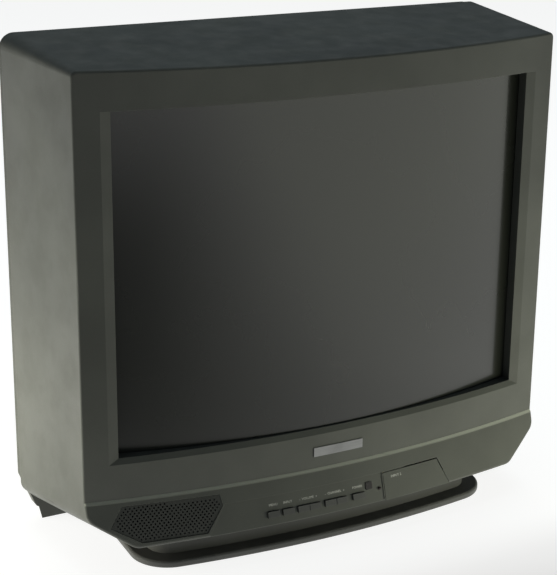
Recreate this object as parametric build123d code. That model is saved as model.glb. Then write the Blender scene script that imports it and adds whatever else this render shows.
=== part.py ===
"""Table-top colour television with a cylindrical-face picture tube, as separate pieces.

Millimetres. X is to the right of someone watching, Y goes back from the face, Z is up from the table.
The set is modelled with y = 0 at the two ends of the bowed face, and save() moves every piece so that
the set stands centred over the origin.
"""
import os
from math import acos, asin, atan2, cos, degrees, radians, sin, sqrt, tan

from build123d import *

os.makedirs("parts", exist_ok=True)

# Cabinet
FACE_W = 484.0          # width of the face
FACE_TOP = 460.5        # height of the face's top edge over the table
CREASE_Z = 76.0         # where the tilted lower panel begins
CHIN_Z = 35.0           # bottom edge of the lower panel
CHIN_FWD = 12.5         # how far that edge stands in front of the crease
FACE_SAG = 27.5         # how far the middle of the face stands in front of its ends
RIM_Y = 138.0           # depth of the front moulding at its ends
FLARE = 11.5            # how far its rim stands outside the face on every side
DEPTH = 480.0           # whole depth, with the sockets at the back
WALL = 3.0
FACE_CORNER_R = 5.0
RIM_CORNER_R = 14.0
CHAMFER_W = 35.0        # lower corners of the face
CHAMFER_H = 28.5
RIM_CHAMFER = 15.0      # lower corners of the rim
CHAMFER_R = 13.0
EDGE_R = 2.2            # rounding of the face's outline
LEDGE = 1.6             # the lower panel stands this far proud at the crease

# Screen opening
OPENING_W = 420.0
OPENING_BOTTOM = 116.0
OPENING_TOP = 426.0
BEVEL_SIDE = 9.7
BEVEL_BOTTOM = 5.0
BEVEL_DEEP = 3.2
SKIRT = 2.5             # wall of the ring that runs back to the glass

# Picture tube
TUBE_W = 444.0
TUBE_H = 336.0
TUBE_CORNER_R = 24.0
TUBE_FACE_R = 760.0     # bow of the glass
GLASS_BACK = 5.5        # gap from the face's middle back to the glass
GLASS = 11.0
PANEL_DEEP = 62.0       # y of the seam between faceplate and funnel
FUNNEL_T = 5.0
THROAT_Y = 262.0        # where the funnel meets the neck
NECK_END_Y = 384.0
NECK_R = 14.6
NECK_T = 1.5
BAND_T = 1.4
BAND_W = 32.0
LUG_Y = 38.0
LUG_OUT = 9.0

# Lower panel
RECESS = 0.8            # the control area lies this much below the panel
KEY_Z = 45.2
KEY_H = 5.6
KEY_PROUD = 1.3
KEY_GAP = 0.35
KEY_DEEP = 6.0          # from the panel down to the back of a key
KEY_TRAVEL = 0.8
ROCKER_LIFT = 0.7       # room for the end of a rocker that comes up
PIVOT_DEEP = 4.4        # a rocker's pin lies this far below the panel
PIVOT_R = 0.9
PIVOT_REACH = KEY_H / 2 + 3.0
FLANGE = 1.2            # lip that keeps a key behind the wall
MENU_X, MENU_W = -71.0, 11.6
INPUT_X, INPUT_W = -56.4, 11.4
VOLUME_X, ROCKER_W = -35.3, 23.4
CHANNEL_X = -7.3
POWER_X, POWER_W = 17.2, 13.4
SENSOR_X, SENSOR_Z = 29.3, 52.3
LAMP_X, LAMP_Z = 40.6, 47.6

# Jack door
DOOR_X0, DOOR_X1 = 46.5, 122.0
DOOR_SLANT = 12.0       # its right edge leans in by this much at the top
DOOR_BOTTOM = 35.3
DOOR_TOP = 60.6
DOOR_T = 2.4
DOOR_GAP = 0.5
POCKET_FLOOR = 3.4      # floor of the pocket over the door's lower edge
POCKET_DEEP = 30.0
BARREL_R = 1.9
HINGE_PIN_R = 1.2
PIN_PLAY = 0.06

# Speaker grille
GRILLE_PITCH_X = 4.0
GRILLE_PITCH_Z = 2.4
GRILLE_HOLE = 1.7
GRILLE_T = 1.6

# Plinth
LIP_H = 8.0
LIP_BACK = 1.5          # the lip's ends stand this far behind the face's ends
LIP_HALF = 183.0
PLINTH_HALF_REAR = 184.0
PLINTH_END_Y = 128.0
FASCIA_BACK = 16.0
PLINTH_CORNER_R = 38.0

# Rear cover
COVER_STEP = 12.0       # full-size band behind the rim
COVER_IN = 17.0         # ledge where the screws sit
MID_Y = 318.0
MID_HALF, MID_TOP = 196.0, 428.0
BACK_HALF, BACK_TOP = 152.0, 352.0
BACK_BOTTOM = 30.0
SOCKET_OUT = 9.0        # sockets stand this far out of the back wall
FOOT_HALF, FOOT_W, FOOT_H = 233.5, 36.0, 14.0
VENT_W, VENT_PITCH, VENT_LONG = 3.4, 8.0, 62.0

# Boards and what stands on them
BOARD_Z, BOARD_T = 52.0, 1.6
BOARD_HALF, BOARD_Y0, BOARD_Y1 = 160.0, 82.0, DEPTH - 60.0
BOARD_BACK_HALF, BOARD_STEP_Y = 128.0, 330.0

# Lower panel, beyond the keys
RECESS_OUTLINE = [(-117.5, 61.5), (DOOR_X0 - 1.5, 61.5), (DOOR_X0 - 1.5, 20), (-145, 20)]
SWITCH_DEEP = 12.0
KEY_BOARD_POSTS = [(-91.0, 56.0), (0.0, 56.0)]
KEY_BOARD_X = -45.5     # midway between the posts
BEZEL_CORNER_R = 2.0
BADGE_X, BADGE_Z, BADGE_W, BADGE_H = 0.0, 94.0, 52.0, 9.0

# Speaker behind its grille
GRILLE_OUTLINE = [(-210, 71.5), (-221, 54.5), (-194.5, 39), (-134.5, 39), (-119, 61), (-121, 70.5)]
GRILLE_X, GRILLE_Z = -167.5, 55.5
GRILLE_DEEP = 1.35      # the flat plate's face lies this far below the panel at its middle
SPEAKER_X, SPEAKER_Z = -164.0, 59.5
SPEAKER_W, SPEAKER_H, SPEAKER_DEEP = 94.0, 30.0, 7.5
SPEAKER_HOLES = [(u * 42.5, v * 11.5) for u in (-1, 1) for v in (-1, 1)]
SPEAKER_SCREW_R = 1.2

# Hinge and sockets of the jack door
HINGE_UP = 3.2          # hinge axis over the door's lower edge
HINGE_DEEP = 2.9        # hinge axis behind the panel's surface
HEEL_R = 4.1
JACK_PITCH, JACK_Z = 22.0, 50.5
JACK_R = 4.2

# Pads, rear sockets and plinth
PAD_OUT = 0.8           # rubber pads stand this far out of the plinth and the rails
PAD_R, PAD_H = 8.0, 3.2
ANTENNA_X, ANTENNA_Z = -94.0, 74.0
REAR_JACK_X, REAR_JACK_Z, REAR_JACK_PITCH = -52.0, 70.0, 17.0
INLET_X, INLET_Z, INLET_W, INLET_H = 96.0, 66.0, 20.0, 12.0
PLINTH_SCREWS = [(sx * 120.0, y) for sx in (-1, 1) for y in (20.0, 96.0)]
PLINTH_SCREW_R = 1.8
PLINTH_FLOOR = 20.0
FRONT_PADS = [(sx * 146.0, 26.0) for sx in (-1, 1)]
REAR_PADS = [(sx * 214.0, RIM_Y + 24) for sx in (-1, 1)] + [(sx * 178.0, MID_Y - 34) for sx in (-1, 1)]

# Inside the tube
FUNNEL_STOPS = (0.0, 0.18, 0.38, 0.6, 0.82)
SCREEN_W, SCREEN_H = 408.0, 306.0
MASK_GAP = 12.0
YOKE_Y0, YOKE_Y1 = 204.0, 274.0
TUBE_SCREW_R = 2.4

# Screws
BOSS_R = 4.5
COVER_SCREW_R = 1.9
BOARD_SCREWS = [(sx * 144.0, y) for sx in (-1, 1) for y in (96.0, 300.0)]
BOARD_SCREW_R = 1.8
CHASSIS_SCREW = (BOARD_SCREW_R, 12.0, 3.6, 2.2)

# On the board
FLYBACK_X, FLYBACK_Y = 92.0, 250.0
KNOB_Z = (92.0, 112.0)
KNOB_R = 5.0
HEAT_SINKS = [(-120.0, 218.0), (-30.0, 340.0), (60.0, 320.0)]
CAPACITORS = [(-60, 176, 12, 38), (-60, 130, 9, 30), (-20, 118, 6, 22), (10, 126, 5, 16),
              (40, 112, 6, 20)]
CAPACITORS += [(-10, 160, 8, 26), (24, 176, 5, 16), (-60, 220, 8, 28), (-20, 214, 6, 20),
               (20, 226, 5, 14)]
CAPACITORS += [(-60, 300, 7, 24), (0, 292, 5, 14), (96, 330, 6, 20), (100, 356, 5, 16),
               (-108, 290, 6, 20)]
CHIPS = [(-20, 250, 26, 10), (20, 262, 20, 8), (60, 170, 38, 14), (100, 130, 18, 8), (-100, 320, 20, 8)]

CLEAR = 0.3

BOW_R = ((FACE_W / 2) ** 2 + FACE_SAG ** 2) / (2 * FACE_SAG)
BOW_Y = BOW_R - FACE_SAG
CHIN_TILT = degrees(atan2(CHIN_FWD, CREASE_Z - CHIN_Z))
FRONT_Y = -(FACE_SAG + CHIN_FWD + LEDGE)
CHIN_Y = FRONT_Y
BACK_Y = FRONT_Y + DEPTH
BACK_WALL_Y = BACK_Y - SOCKET_OUT
TUBE_Z = (OPENING_BOTTOM + OPENING_TOP) / 2
GLASS_Y = -FACE_SAG + GLASS_BACK
BOW_AXIS = Axis((0, BOW_Y, 0), (0, 0, 1))
LUGS = [(sx * (TUBE_W / 2 + 4), TUBE_Z + sz * (TUBE_H / 2 + 4)) for sx in (-1, 1) for sz in (-1, 1)]
RIM_HALF = FACE_W / 2 + FLARE
RIM_TOP = FACE_TOP + FLARE
LEDGE_MID = (COVER_IN + 1.5) / 2 + 1.0
COVER_SCREWS = [(sx * (RIM_HALF - LEDGE_MID), z) for sx in (-1, 1) for z in (120.0, 340.0)]
COVER_SCREWS += [(sx * 140.0, RIM_TOP - LEDGE_MID) for sx in (-1, 1)]
DOOR_X = (DOOR_X0 + DOOR_X1) / 2
ANODE_Y = PANEL_DEEP + 46.0
BOARD_TOP = BOARD_Z + BOARD_T
CORNERS = [(-1, -1), (1, -1), (1, 1), (-1, 1)]


def save(node, shape):
    """Write one piece, moved so that the set is centred over the origin."""
    placed = shape.moved(Location((0, -CENTRE_Y, 0)))
    placed.label = node
    export_step(placed, f"parts/{node}.step")


def as_part(*shapes):
    return Part() + list(shapes)


def bow_y(x, back=0.0):
    """y of the bowed face at x, or of a surface that lies `back` behind it."""
    return BOW_Y - sqrt((BOW_R - back) ** 2 - x ** 2)


def box(x0, x1, y0, y1, z0, z1):
    size = (x1 - x0, y1 - y0, z1 - z0)
    return Pos((x0 + x1) / 2, (y0 + y1) / 2, (z0 + z1) / 2) * Box(*size)


def rod(start, direction, radius, length):
    """Cylinder from a start point along a direction."""
    return Plane(origin=start, z_dir=direction) * Cylinder(radius, length,
                                                           align=(Align.CENTER, Align.CENTER,
                                                                   Align.MIN))


def tube(start, direction, radius, bore, length):
    return rod(start, direction, radius, length) - rod(start, direction, bore, length)


def upright(points, y0, y1):
    """Prism along Y from an outline of (x, z) points."""
    outline = make_face(Polyline([(x, z) for x, z in points], close=True))
    return extrude(Plane(origin=(0, y0, 0), x_dir=(1, 0, 0), z_dir=(0, -1, 0)) * outline, -(y1 - y0))


def bowed(points, reach=20.0):
    """Revolve (radius, z) points about the bow's axis, over `reach` degrees to each side."""
    half_plane = Plane(origin=(0, BOW_Y, 0), x_dir=(0, -1, 0), z_dir=(-1, 0, 0))
    outline = half_plane * make_face(Polyline(points, close=True))
    return revolve(outline.rotate(BOW_AXIS, -reach), BOW_AXIS, 2 * reach)


def behind_face(back=0.0, out=0.0):
    """Everything behind the face and the tilted panel, set `back` behind them or `out` in front."""
    shift = out - back
    slope = shift / cos(radians(CHIN_TILT))
    top, bottom = FACE_TOP + 60, CHIN_Z - 40
    ledge = LEDGE if back == 0 and out == 0 else LEDGE / 2
    run = CHIN_FWD / (CREASE_Z - CHIN_Z)
    chin_r = BOW_R + slope + LEDGE
    deep = BOW_R - 260
    points = [(deep, top), (BOW_R + shift, top), (BOW_R + shift, CREASE_Z + ledge), (chin_r, CREASE_Z)]
    points += [(chin_r + run * (CREASE_Z - bottom), bottom), (deep, bottom)]
    return bowed(points)


def shell_section(y, inset=0.0):
    """Outline of the front moulding at depth y, the same outline made `inset` smaller."""
    t = y / RIM_Y
    half = FACE_W / 2 + FLARE * t - inset
    top = FACE_TOP + FLARE * t - inset
    bottom = CHIN_Z - FLARE * (y - CHIN_Y) / (RIM_Y - CHIN_Y) + inset
    cut_w = CHAMFER_W + (RIM_CHAMFER - CHAMFER_W) * t - 0.586 * inset
    cut_h = CHAMFER_H + (RIM_CHAMFER - CHAMFER_H) * t - 0.586 * inset
    corner = max(FACE_CORNER_R + (RIM_CORNER_R - FACE_CORNER_R) * t - inset, 1.0)
    points = [(-half, top), (half, top), (half, bottom + cut_h), (half - cut_w, bottom)]
    points += [(cut_w - half, bottom), (-half, bottom + cut_h)]
    radii = [corner, corner] + [CHAMFER_R] * 4
    plane = Plane(origin=(0, y, 0), x_dir=(1, 0, 0), z_dir=(0, -1, 0))
    return plane * make_face(FilletPolyline(*points, radius=radii, close=True))


def shell(inset, y1):
    return loft([shell_section(-70, inset), shell_section(y1, inset)], ruled=True)


def outline_edges(solid):
    """Edges where the face and the lower panel meet the outside walls."""
    front = [f for f in solid.faces() if f.center().Y < 2 and abs(f.normal_at(f.center()).Y) > 0.5]
    inner = [e for i, f in enumerate(front) for g in front[i + 1:] for e in shared_edges(f, g)]
    shared = [tuple(round(v, 2) for v in e.center()) for e in inner]
    edges = [e for f in front for e in f.edges()]
    return [e for e in edges if tuple(round(v, 2) for v in e.center()) not in shared]


def shared_edges(face, other):
    centres = [tuple(round(v, 2) for v in e.center()) for e in other.edges()]
    return [e for e in face.edges() if tuple(round(v, 2) for v in e.center()) in centres]


def chin_frame(x, z):
    """Plane on the lower panel: x_dir along the panel, normal out of it."""
    turn = asin(x / BOW_R)
    tilt = radians(CHIN_TILT)
    radius = BOW_R + LEDGE + CHIN_FWD * (CREASE_Z - z) / (CREASE_Z - CHIN_Z)
    origin = (radius * sin(turn), BOW_Y - radius * cos(turn), z)
    normal = (sin(turn) * cos(tilt), -cos(turn) * cos(tilt), sin(tilt))
    return Plane(origin=origin, x_dir=(cos(turn), sin(turn), 0), z_dir=normal)


def chin_block(x, z, width, height, depth0, depth1, corner=0.6):
    """Rounded block square to the panel at (x, z), from depth0 to depth1 below its surface."""
    outline = chin_frame(x, z).offset(-depth0) * RectangleRounded(width, height, corner)
    return extrude(outline, depth0 - depth1)


def panel_layer(depth0, depth1):
    """Bowed layer of the lower panel between two depths below its surface, negative above it."""
    return behind_face(out=max(-depth0, 0), back=max(depth0, 0)) - behind_face(back=depth1)


# Outlines on the lower panel, as (x, z)


def grille_corners():
    """Corners of the speaker grille in the flat plane of its own plate."""
    along = chin_frame(GRILLE_X, GRILLE_Z).x_dir.X
    lean = cos(radians(CHIN_TILT))
    return [((x - GRILLE_X) / along, (z - GRILLE_Z) / lean) for x, z in GRILLE_OUTLINE]


def grille_block(grow, depth0, depth1):
    outline = offset(make_face(Polyline(grille_corners(), close=True)), grow, kind=Kind.INTERSECTION)
    frame = chin_frame(GRILLE_X, GRILLE_Z).offset(-depth0)
    return extrude(frame * outline, depth0 - depth1)


def speaker_plate(depth0, depth1, width, height, corner):
    """Rounded slab square to the panel at the speaker, between two depths below the panel."""
    return chin_block(SPEAKER_X, SPEAKER_Z, width, height, depth0, depth1, corner)


def opening_block(grow, y0, y1):
    width, height = OPENING_W + 2 * grow, OPENING_TOP - OPENING_BOTTOM + 2 * grow
    plane = Plane(origin=(0, y0, TUBE_Z), x_dir=(1, 0, 0), z_dir=(0, -1, 0))
    return extrude(plane * RectangleRounded(width, height, BEZEL_CORNER_R + grow), -(y1 - y0))


def behind_glass(clear=0.0):
    """Everything behind the bowed front of the picture tube."""
    centre = Pos(0, GLASS_Y + TUBE_FACE_R, TUBE_Z)
    return centre * Cylinder(TUBE_FACE_R + clear, TUBE_H + 80)


def bevels():
    """Sloped border cut into the face at the two sides and the bottom of the opening, mitred."""
    half = OPENING_W / 2
    outer = half + BEVEL_SIDE
    side = [(outer, bow_y(outer)), (half, bow_y(half) + BEVEL_DEEP), (half, 60)]
    plan = [(outer, FRONT_Y - 20)] + side + [(-x, y) for x,
                                             y in reversed(side)] + [(-outer, FRONT_Y - 20)]
    sides = extrude(make_face(Polyline(plan, close=True)), OPENING_TOP)
    low = OPENING_BOTTOM - BEVEL_BOTTOM
    sill = [(BOW_R + 20, low), (BOW_R, low), (BOW_R - BEVEL_DEEP, OPENING_BOTTOM),
            (BOW_R - 60, OPENING_BOTTOM)]
    sill += [(BOW_R - 60, OPENING_TOP), (BOW_R + 20, OPENING_TOP)]
    return sides & bowed(sill)


def door_frame():
    """Plane on the panel at the hinge: x_dir along the hinge."""
    return chin_frame(DOOR_X, DOOR_BOTTOM + HINGE_UP)


def hinge_rod(radius, left, right):
    """Rod on the hinge axis from `left` beyond one end of the door to `right` beyond the other."""
    frame = door_frame()
    half = (DOOR_X1 - DOOR_X0) / 2 / frame.x_dir.X
    middle = frame.from_local_coords(Vector(0, 0, -HINGE_DEEP))
    return rod(middle - frame.x_dir * (half + left), frame.x_dir, radius, 2 * half + left + right)


def door_prism(grow, below, y0, y1):
    """Prism along Y on the door's outline, `grow` larger, and `below` more at the bottom."""
    slant = DOOR_SLANT / (DOOR_TOP - DOOR_BOTTOM)
    low, high, right = DOOR_BOTTOM - below, DOOR_TOP + grow, DOOR_X1 + grow
    outline = [(DOOR_X0 - grow, low), (right + slant * below, low)]
    outline += [(right - DOOR_SLANT - slant * grow, high), (DOOR_X0 - grow, high)]
    return upright(outline, y0, y1)


def pocket_floor_y():
    return door_frame().origin.Y + POCKET_DEEP


def front_cabinet():
    body = shell(0, RIM_Y) & behind_face()
    body = fillet(outline_edges(body), EDGE_R)
    body -= shell(WALL, RIM_Y + 5) & behind_face(back=WALL)
    skirt = opening_block(SKIRT, FRONT_Y, 40) & behind_face(back=WALL / 2)
    adds = [skirt - behind_glass(CLEAR)]
    inside = shell(WALL / 2, RIM_Y + 5) & behind_face(back=WALL / 2)
    for x, z in LUGS:
        adds.append(rod((x, FRONT_Y, z), (0, 1, 0), 7.0, LUG_Y - FRONT_Y) & inside)
    for x, z in COVER_SCREWS:
        boss = rod((x, RIM_Y - 22, z), (0, 1, 0), BOSS_R, 22 + COVER_STEP - WALL)
        if abs(x) > FACE_W / 2 - 20:
            out = RIM_HALF - WALL / 2
            rib = box(min(x, out * x / abs(x)), max(x, out * x / abs(x)), RIM_Y - 22, RIM_Y - 4, z
                      - 1, z + 1)
        else:
            rib = box(x - 1, x + 1, RIM_Y - 22, RIM_Y - 4, z, RIM_TOP - WALL / 2)
        adds += [boss, rib & inside]
    for x, z in KEY_BOARD_POSTS:
        frame = chin_frame(x, z)
        start = frame.from_local_coords(Vector(0, 0, -WALL / 2))
        adds.append(rod(start, -frame.z_dir, 3.0, SWITCH_DEEP - WALL / 2 - 0.2))
    for x in (VOLUME_X, CHANNEL_X):
        for side in (-1, 1):
            bearing = chin_frame(x, KEY_Z).offset(-WALL / 2) * Pos(0,
                    side * (PIVOT_REACH - 0.6)) * Rectangle(4, 1.8)
            adds.append(extrude(bearing, WALL / 2 - PIVOT_DEEP - 2) & inside)
    adds.append(grille_block(3.0, WALL / 2, SPEAKER_DEEP - 1) & inside)
    adds.append(speaker_plate(WALL, SPEAKER_DEEP, SPEAKER_W + 2, SPEAKER_H + 2, 6) & inside)
    sleeve = door_prism(DOOR_GAP + 2.0, 2.0, FRONT_Y, pocket_floor_y()) & behind_face(back=WALL / 2)
    adds.append(sleeve & inside)
    for x, y in PLINTH_SCREWS:
        adds.append(rod((x, y, CHIN_Z - 10), (0, 0, 1), BOSS_R, 18) & inside)
    body = body + adds
    cuts = [opening_block(0, FRONT_Y - 5, 60), bevels()]
    for x, y in PLINTH_SCREWS:
        cuts.append(rod((x, y, 10), (0, 0, 1), PLINTH_SCREW_R, 27))
    cuts.append(grille_block(0.3, -4, GRILLE_DEEP + GRILLE_T + 0.05))
    cuts.append(speaker_plate(0, SPEAKER_DEEP + 2, 80, 24, 11.9))
    cuts.append(upright(RECESS_OUTLINE, FRONT_Y - 5, 12) & panel_layer(-4, RECESS))
    heel_y = door_frame().from_local_coords(Vector(0, 0, -HINGE_DEEP)).Y + HEEL_R + 0.8
    cuts.append(door_prism(DOOR_GAP, 20, FRONT_Y - 5, heel_y + 2.4))
    cuts.append(door_prism(DOOR_GAP + 0.6, 20, heel_y - 1.6, heel_y + 2.4))
    cuts.append(door_prism(DOOR_GAP, -POCKET_FLOOR, FRONT_Y - 5, pocket_floor_y() + 1))
    cuts.append(hinge_rod(HINGE_PIN_R + PIN_PLAY, 2.4, 2.4))
    for x, width in ((MENU_X, MENU_W), (INPUT_X, INPUT_W), (POWER_X, POWER_W)):
        cuts.append(chin_block(x, KEY_Z, width + 2 * KEY_GAP, KEY_H + 2 * KEY_GAP, -3, 7))
    for x in (VOLUME_X, CHANNEL_X):
        cuts.append(chin_block(x, KEY_Z, ROCKER_W + 2 * KEY_GAP, KEY_H + 2 * KEY_GAP, -3, 7))
    cuts.append(chin_block(SENSOR_X, SENSOR_Z, 7.2, 7.2, -3, 7))
    lamp = chin_frame(LAMP_X, LAMP_Z)
    cuts.append(rod(lamp.from_local_coords(Vector(0, 0, 3)), -lamp.z_dir, 1.6, 9))
    for x, z in LUGS:
        cuts.append(rod((x, LUG_Y - 22, z), (0, 1, 0), TUBE_SCREW_R, 40))
    for x, z in COVER_SCREWS:
        cuts.append(rod((x, RIM_Y - 14, z), (0, 1, 0), COVER_SCREW_R, 40))
    for x in (VOLUME_X, CHANNEL_X):
        cuts.append(rocker_axis(x, PIVOT_R + PIN_PLAY, PIVOT_REACH + 0.4))
    speaker = chin_frame(SPEAKER_X, SPEAKER_Z)
    for u, v in SPEAKER_HOLES:
        start = speaker.from_local_coords(Vector(u, v, -SPEAKER_DEEP + 4))
        cuts.append(rod(start, -speaker.z_dir, SPEAKER_SCREW_R, 9))
    return body - cuts


def cover_section(y, half, top, low, floor_half, floor, corner, inset=0.0):
    points = [(inset - half, top - inset), (half - inset, top - inset), (half - inset, low)]
    points += [(floor_half - inset, floor + inset), (inset - floor_half, floor + inset),
               (inset - half, low)]
    radii = [max(corner - inset, 1.0)] * 2 + [6.0, 4.0, 4.0, 6.0]
    plane = Plane(origin=(0, y, 0), x_dir=(1, 0, 0), z_dir=(0, -1, 0))
    return plane * make_face(FilletPolyline(*points, radius=radii, close=True))


def cover_body(inset):
    """Rear cover as a solid, or its cavity when inset by the wall."""
    step_y = RIM_Y + COVER_STEP
    band = (RIM_HALF - 1.5, RIM_TOP - 1.5, 48.0, RIM_HALF - 15.0, FOOT_H, RIM_CORNER_R)
    ledge = (RIM_HALF - COVER_IN - 1.5, RIM_TOP - COVER_IN - 1.5, 48.0, RIM_HALF - 21.0, FOOT_H,
             RIM_CORNER_R)
    middle = (MID_HALF, MID_TOP, 48.0, MID_HALF - 8, FOOT_H, 20.0)
    back = (BACK_HALF, BACK_TOP, 60.0, BACK_HALF - 6, BACK_BOTTOM, 20.0)
    start = RIM_Y + inset
    pieces = [loft([cover_section(start, *band, inset),
                    cover_section(step_y - inset, *band, inset)], ruled=True)]
    tail_y = step_y - inset
    pieces.append(loft([cover_section(tail_y, *ledge, inset), cover_section(MID_Y, *middle, inset)],
                       ruled=True))
    end_y = BACK_WALL_Y - inset
    pieces.append(loft([cover_section(MID_Y, *middle, inset), cover_section(end_y, *back, inset)],
                       ruled=True))
    return pieces[0] + pieces[1:]


def foot_rail(side):
    """Hollow rail under the cover, open below, that the set's back rests on."""
    rear_y, narrow = MID_Y - 12, 0.80

    def section(y, scale, inset):
        outer, inner = FOOT_HALF * scale, (FOOT_HALF - FOOT_W) * scale
        low, high = (PAD_OUT, FOOT_H + 4) if inset == 0 else (-1, FOOT_H - 1)
        points = [(outer - inset, low), (inner + inset, low), (inner + inset, high),
                  (outer + 4 - inset, high)]
        plane = Plane(origin=(0, y, 0), x_dir=(1, 0, 0), z_dir=(0, -1, 0))
        return plane * make_face(Polyline([(side * x, z) for x, z in points], close=True))

    outer = loft([section(RIM_Y, 1.0, 0), section(rear_y, narrow, 0)], ruled=True)
    hollow = loft([section(RIM_Y + WALL, 1.0, WALL), section(rear_y - WALL, narrow, WALL)], ruled=True)
    return outer, hollow


def vents():
    slots = []
    for i in range(-15, 16):
        x = i * VENT_PITCH
        for y in (RIM_Y + 28, RIM_Y + 28 + VENT_LONG + 12):
            slots.append(box(x - VENT_W / 2, x + VENT_W / 2, y, y + VENT_LONG, MID_TOP - 12, RIM_TOP))
    for i in range(-9, 10):
        x = i * VENT_PITCH
        slots.append(box(x - VENT_W / 2, x + VENT_W / 2, MID_Y + 18, BACK_WALL_Y - 34, BACK_TOP + 4,
                         MID_TOP))
    for i in range(15):
        y = RIM_Y + 34 + i * VENT_PITCH
        for side in (-1, 1):
            inner, outer = sorted((side * (MID_HALF - 14), side * RIM_HALF))
            slots.append(box(inner, outer, y, y + VENT_W, 62, 62 + VENT_LONG))
    return slots


def rear_cover():
    body = cover_body(0)
    rails = [foot_rail(side) for side in (-1, 1)]
    body = body + [outer for outer, hollow in rails]
    mouth = extrude(shell_section(RIM_Y, WALL), -2 * WALL)
    cuts = [cover_body(WALL), mouth.moved(Location((0, -WALL / 2, 0)))] + [hollow for outer,
            hollow in rails]
    for x, z in COVER_SCREWS:
        cuts.append(rod((x, RIM_Y + 6, z), (0, 1, 0), COVER_SCREW_R + 0.3, 12))
        cuts.append(rod((x, RIM_Y - 2, z), (0, 1, 0), BOSS_R + CLEAR, 2 + COVER_STEP - WALL))
    cuts.append(rod((ANTENNA_X, BACK_WALL_Y - 8, ANTENNA_Z), (0, 1, 0), 5.4, 20))
    for i in range(3):
        start = (REAR_JACK_X + i * REAR_JACK_PITCH, BACK_WALL_Y - 8, REAR_JACK_Z)
        cuts.append(rod(start, (0, 1, 0), JACK_R + 1.0, 20))
    inlet = box(-INLET_W / 2, INLET_W / 2, BACK_WALL_Y - 8, BACK_WALL_Y + 8, -INLET_H / 2, INLET_H / 2)
    cuts.append(Pos(INLET_X, 0, INLET_Z) * inlet)
    for x, y in REAR_PADS:
        cuts.append(rod((x, y, -1), (0, 0, 1), PAD_R + 0.1, 1 + PAD_H))
    body = body - cuts
    for x, y in REAR_PADS:
        body += tube((x, y, PAD_OUT), (0, 0, 1), PAD_R + 3, PAD_R + 0.1, FOOT_H - PAD_OUT)
        body += rod((x, y, PAD_H), (0, 0, 1), PAD_R + 3, 2)
    return body - vents()


def plinth_plan(back, height):
    """Plan of the plinth set `back` behind its lip, extruded."""
    front_half, rear_half = LIP_HALF - back, PLINTH_HALF_REAR - back
    end_y = PLINTH_END_Y - back / 2
    sides = [(-front_half - 10, -60), (front_half + 10, -60), (rear_half, end_y), (-rear_half, end_y)]
    slab = extrude(make_face(Polyline(sides, close=True)), height)
    bow = Pos(0, BOW_Y, height / 2) * Cylinder(BOW_R - LIP_BACK - back, 2 * height + 40)
    slab = slab & bow
    corners = [e for e in slab.edges().filter_by(Axis.Z) if e.center().Y < 40]
    return fillet(corners, max(PLINTH_CORNER_R - back, 6.0))


def base_plinth():
    lip = Pos(0, 0, PAD_OUT) * plinth_plan(0, LIP_H - PAD_OUT)
    rounded = [e for e in lip.edges() if abs(e.center().Z - LIP_H) < 0.01
               or abs(e.center().Z - PAD_OUT) < 0.01]
    front = [e for e in rounded if e.center().Y < PLINTH_END_Y - 2]
    lip = fillet(front, 2.4)
    fascia = Pos(0, 0, LIP_H - 1) * plinth_plan(FASCIA_BACK, CHIN_Z + 12 - LIP_H)
    body = lip + fascia
    hollow = Pos(0, 0, -1) * plinth_plan(FASCIA_BACK + WALL, CHIN_Z + 12)
    hollow -= box(-300, 300, -100, 200, 20, 100)
    body -= hollow
    for x, y in FRONT_PADS:
        body += tube((x, y, PAD_OUT), (0, 0, 1), PAD_R + 3, PAD_R + 0.1, 22 - PAD_OUT)
        body += rod((x, y, PAD_H), (0, 0, 1), PAD_R + 3, 2)
    for x, y in PLINTH_SCREWS:
        body -= rod((x, y, 10), (0, 0, 1), PLINTH_SCREW_R + 0.3, 40)
    return body - shell(0, RIM_Y)


def rubber_pads():
    return as_part(*[rod((x, y, 0), (0, 0, 1), PAD_R, PAD_H) for x, y in FRONT_PADS + REAR_PADS])


def rounded_slab(width, height, corner, y0, y1):
    plane = Plane(origin=(0, y0, TUBE_Z), x_dir=(1, 0, 0), z_dir=(0, -1, 0))
    return extrude(plane * RectangleRounded(width, height, corner), -(y1 - y0))


def tube_faceplate():
    outer = rounded_slab(TUBE_W, TUBE_H, TUBE_CORNER_R, GLASS_Y - 2, PANEL_DEEP)
    outer = outer & behind_glass()
    hollow = rounded_slab(TUBE_W - 2 * GLASS, TUBE_H - 2 * GLASS, TUBE_CORNER_R - GLASS / 2, -60,
                          PANEL_DEEP + 1)
    hollow = hollow & (Pos(0, GLASS_Y + TUBE_FACE_R, TUBE_Z) * Cylinder(TUBE_FACE_R - GLASS, TUBE_H))
    return outer - hollow


def funnel_section(y, inset):
    """Outline of the funnel at depth y: a rounded rectangle that turns into a circle."""
    t = (y - PANEL_DEEP) / (THROAT_Y - PANEL_DEEP)
    spread = (1 - t) ** 1.3
    half_w = NECK_R + (TUBE_W / 2 - 1 - NECK_R) * spread - inset
    half_h = NECK_R + (TUBE_H / 2 - 1 - NECK_R) * spread - inset
    corner = min(half_w, half_h) * (0.16 + 0.82 * min(t * 1.25, 1.0))
    plane = Plane(origin=(0, y, TUBE_Z), x_dir=(1, 0, 0), z_dir=(0, -1, 0))
    return plane * RectangleRounded(2 * half_w, 2 * half_h, corner)


def funnel_solid(inset):
    depths = [PANEL_DEEP + s * (THROAT_Y - PANEL_DEEP) for s in FUNNEL_STOPS]
    sections = [funnel_section(y, inset) for y in depths]
    body = loft(sections, ruled=True)
    end = sections[-1].bounding_box()
    radius = min(end.max.X, end.max.Z - TUBE_Z)
    cone = Plane(origin=(0, depths[-1] - 6, TUBE_Z), z_dir=(0, 1, 0))
    height = THROAT_Y - depths[-1] + 6
    neck = NECK_R - (NECK_T if inset > 0 else 0)
    return body + cone * Cone(radius, neck, height, align=(Align.CENTER, Align.CENTER, Align.MIN))


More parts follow.
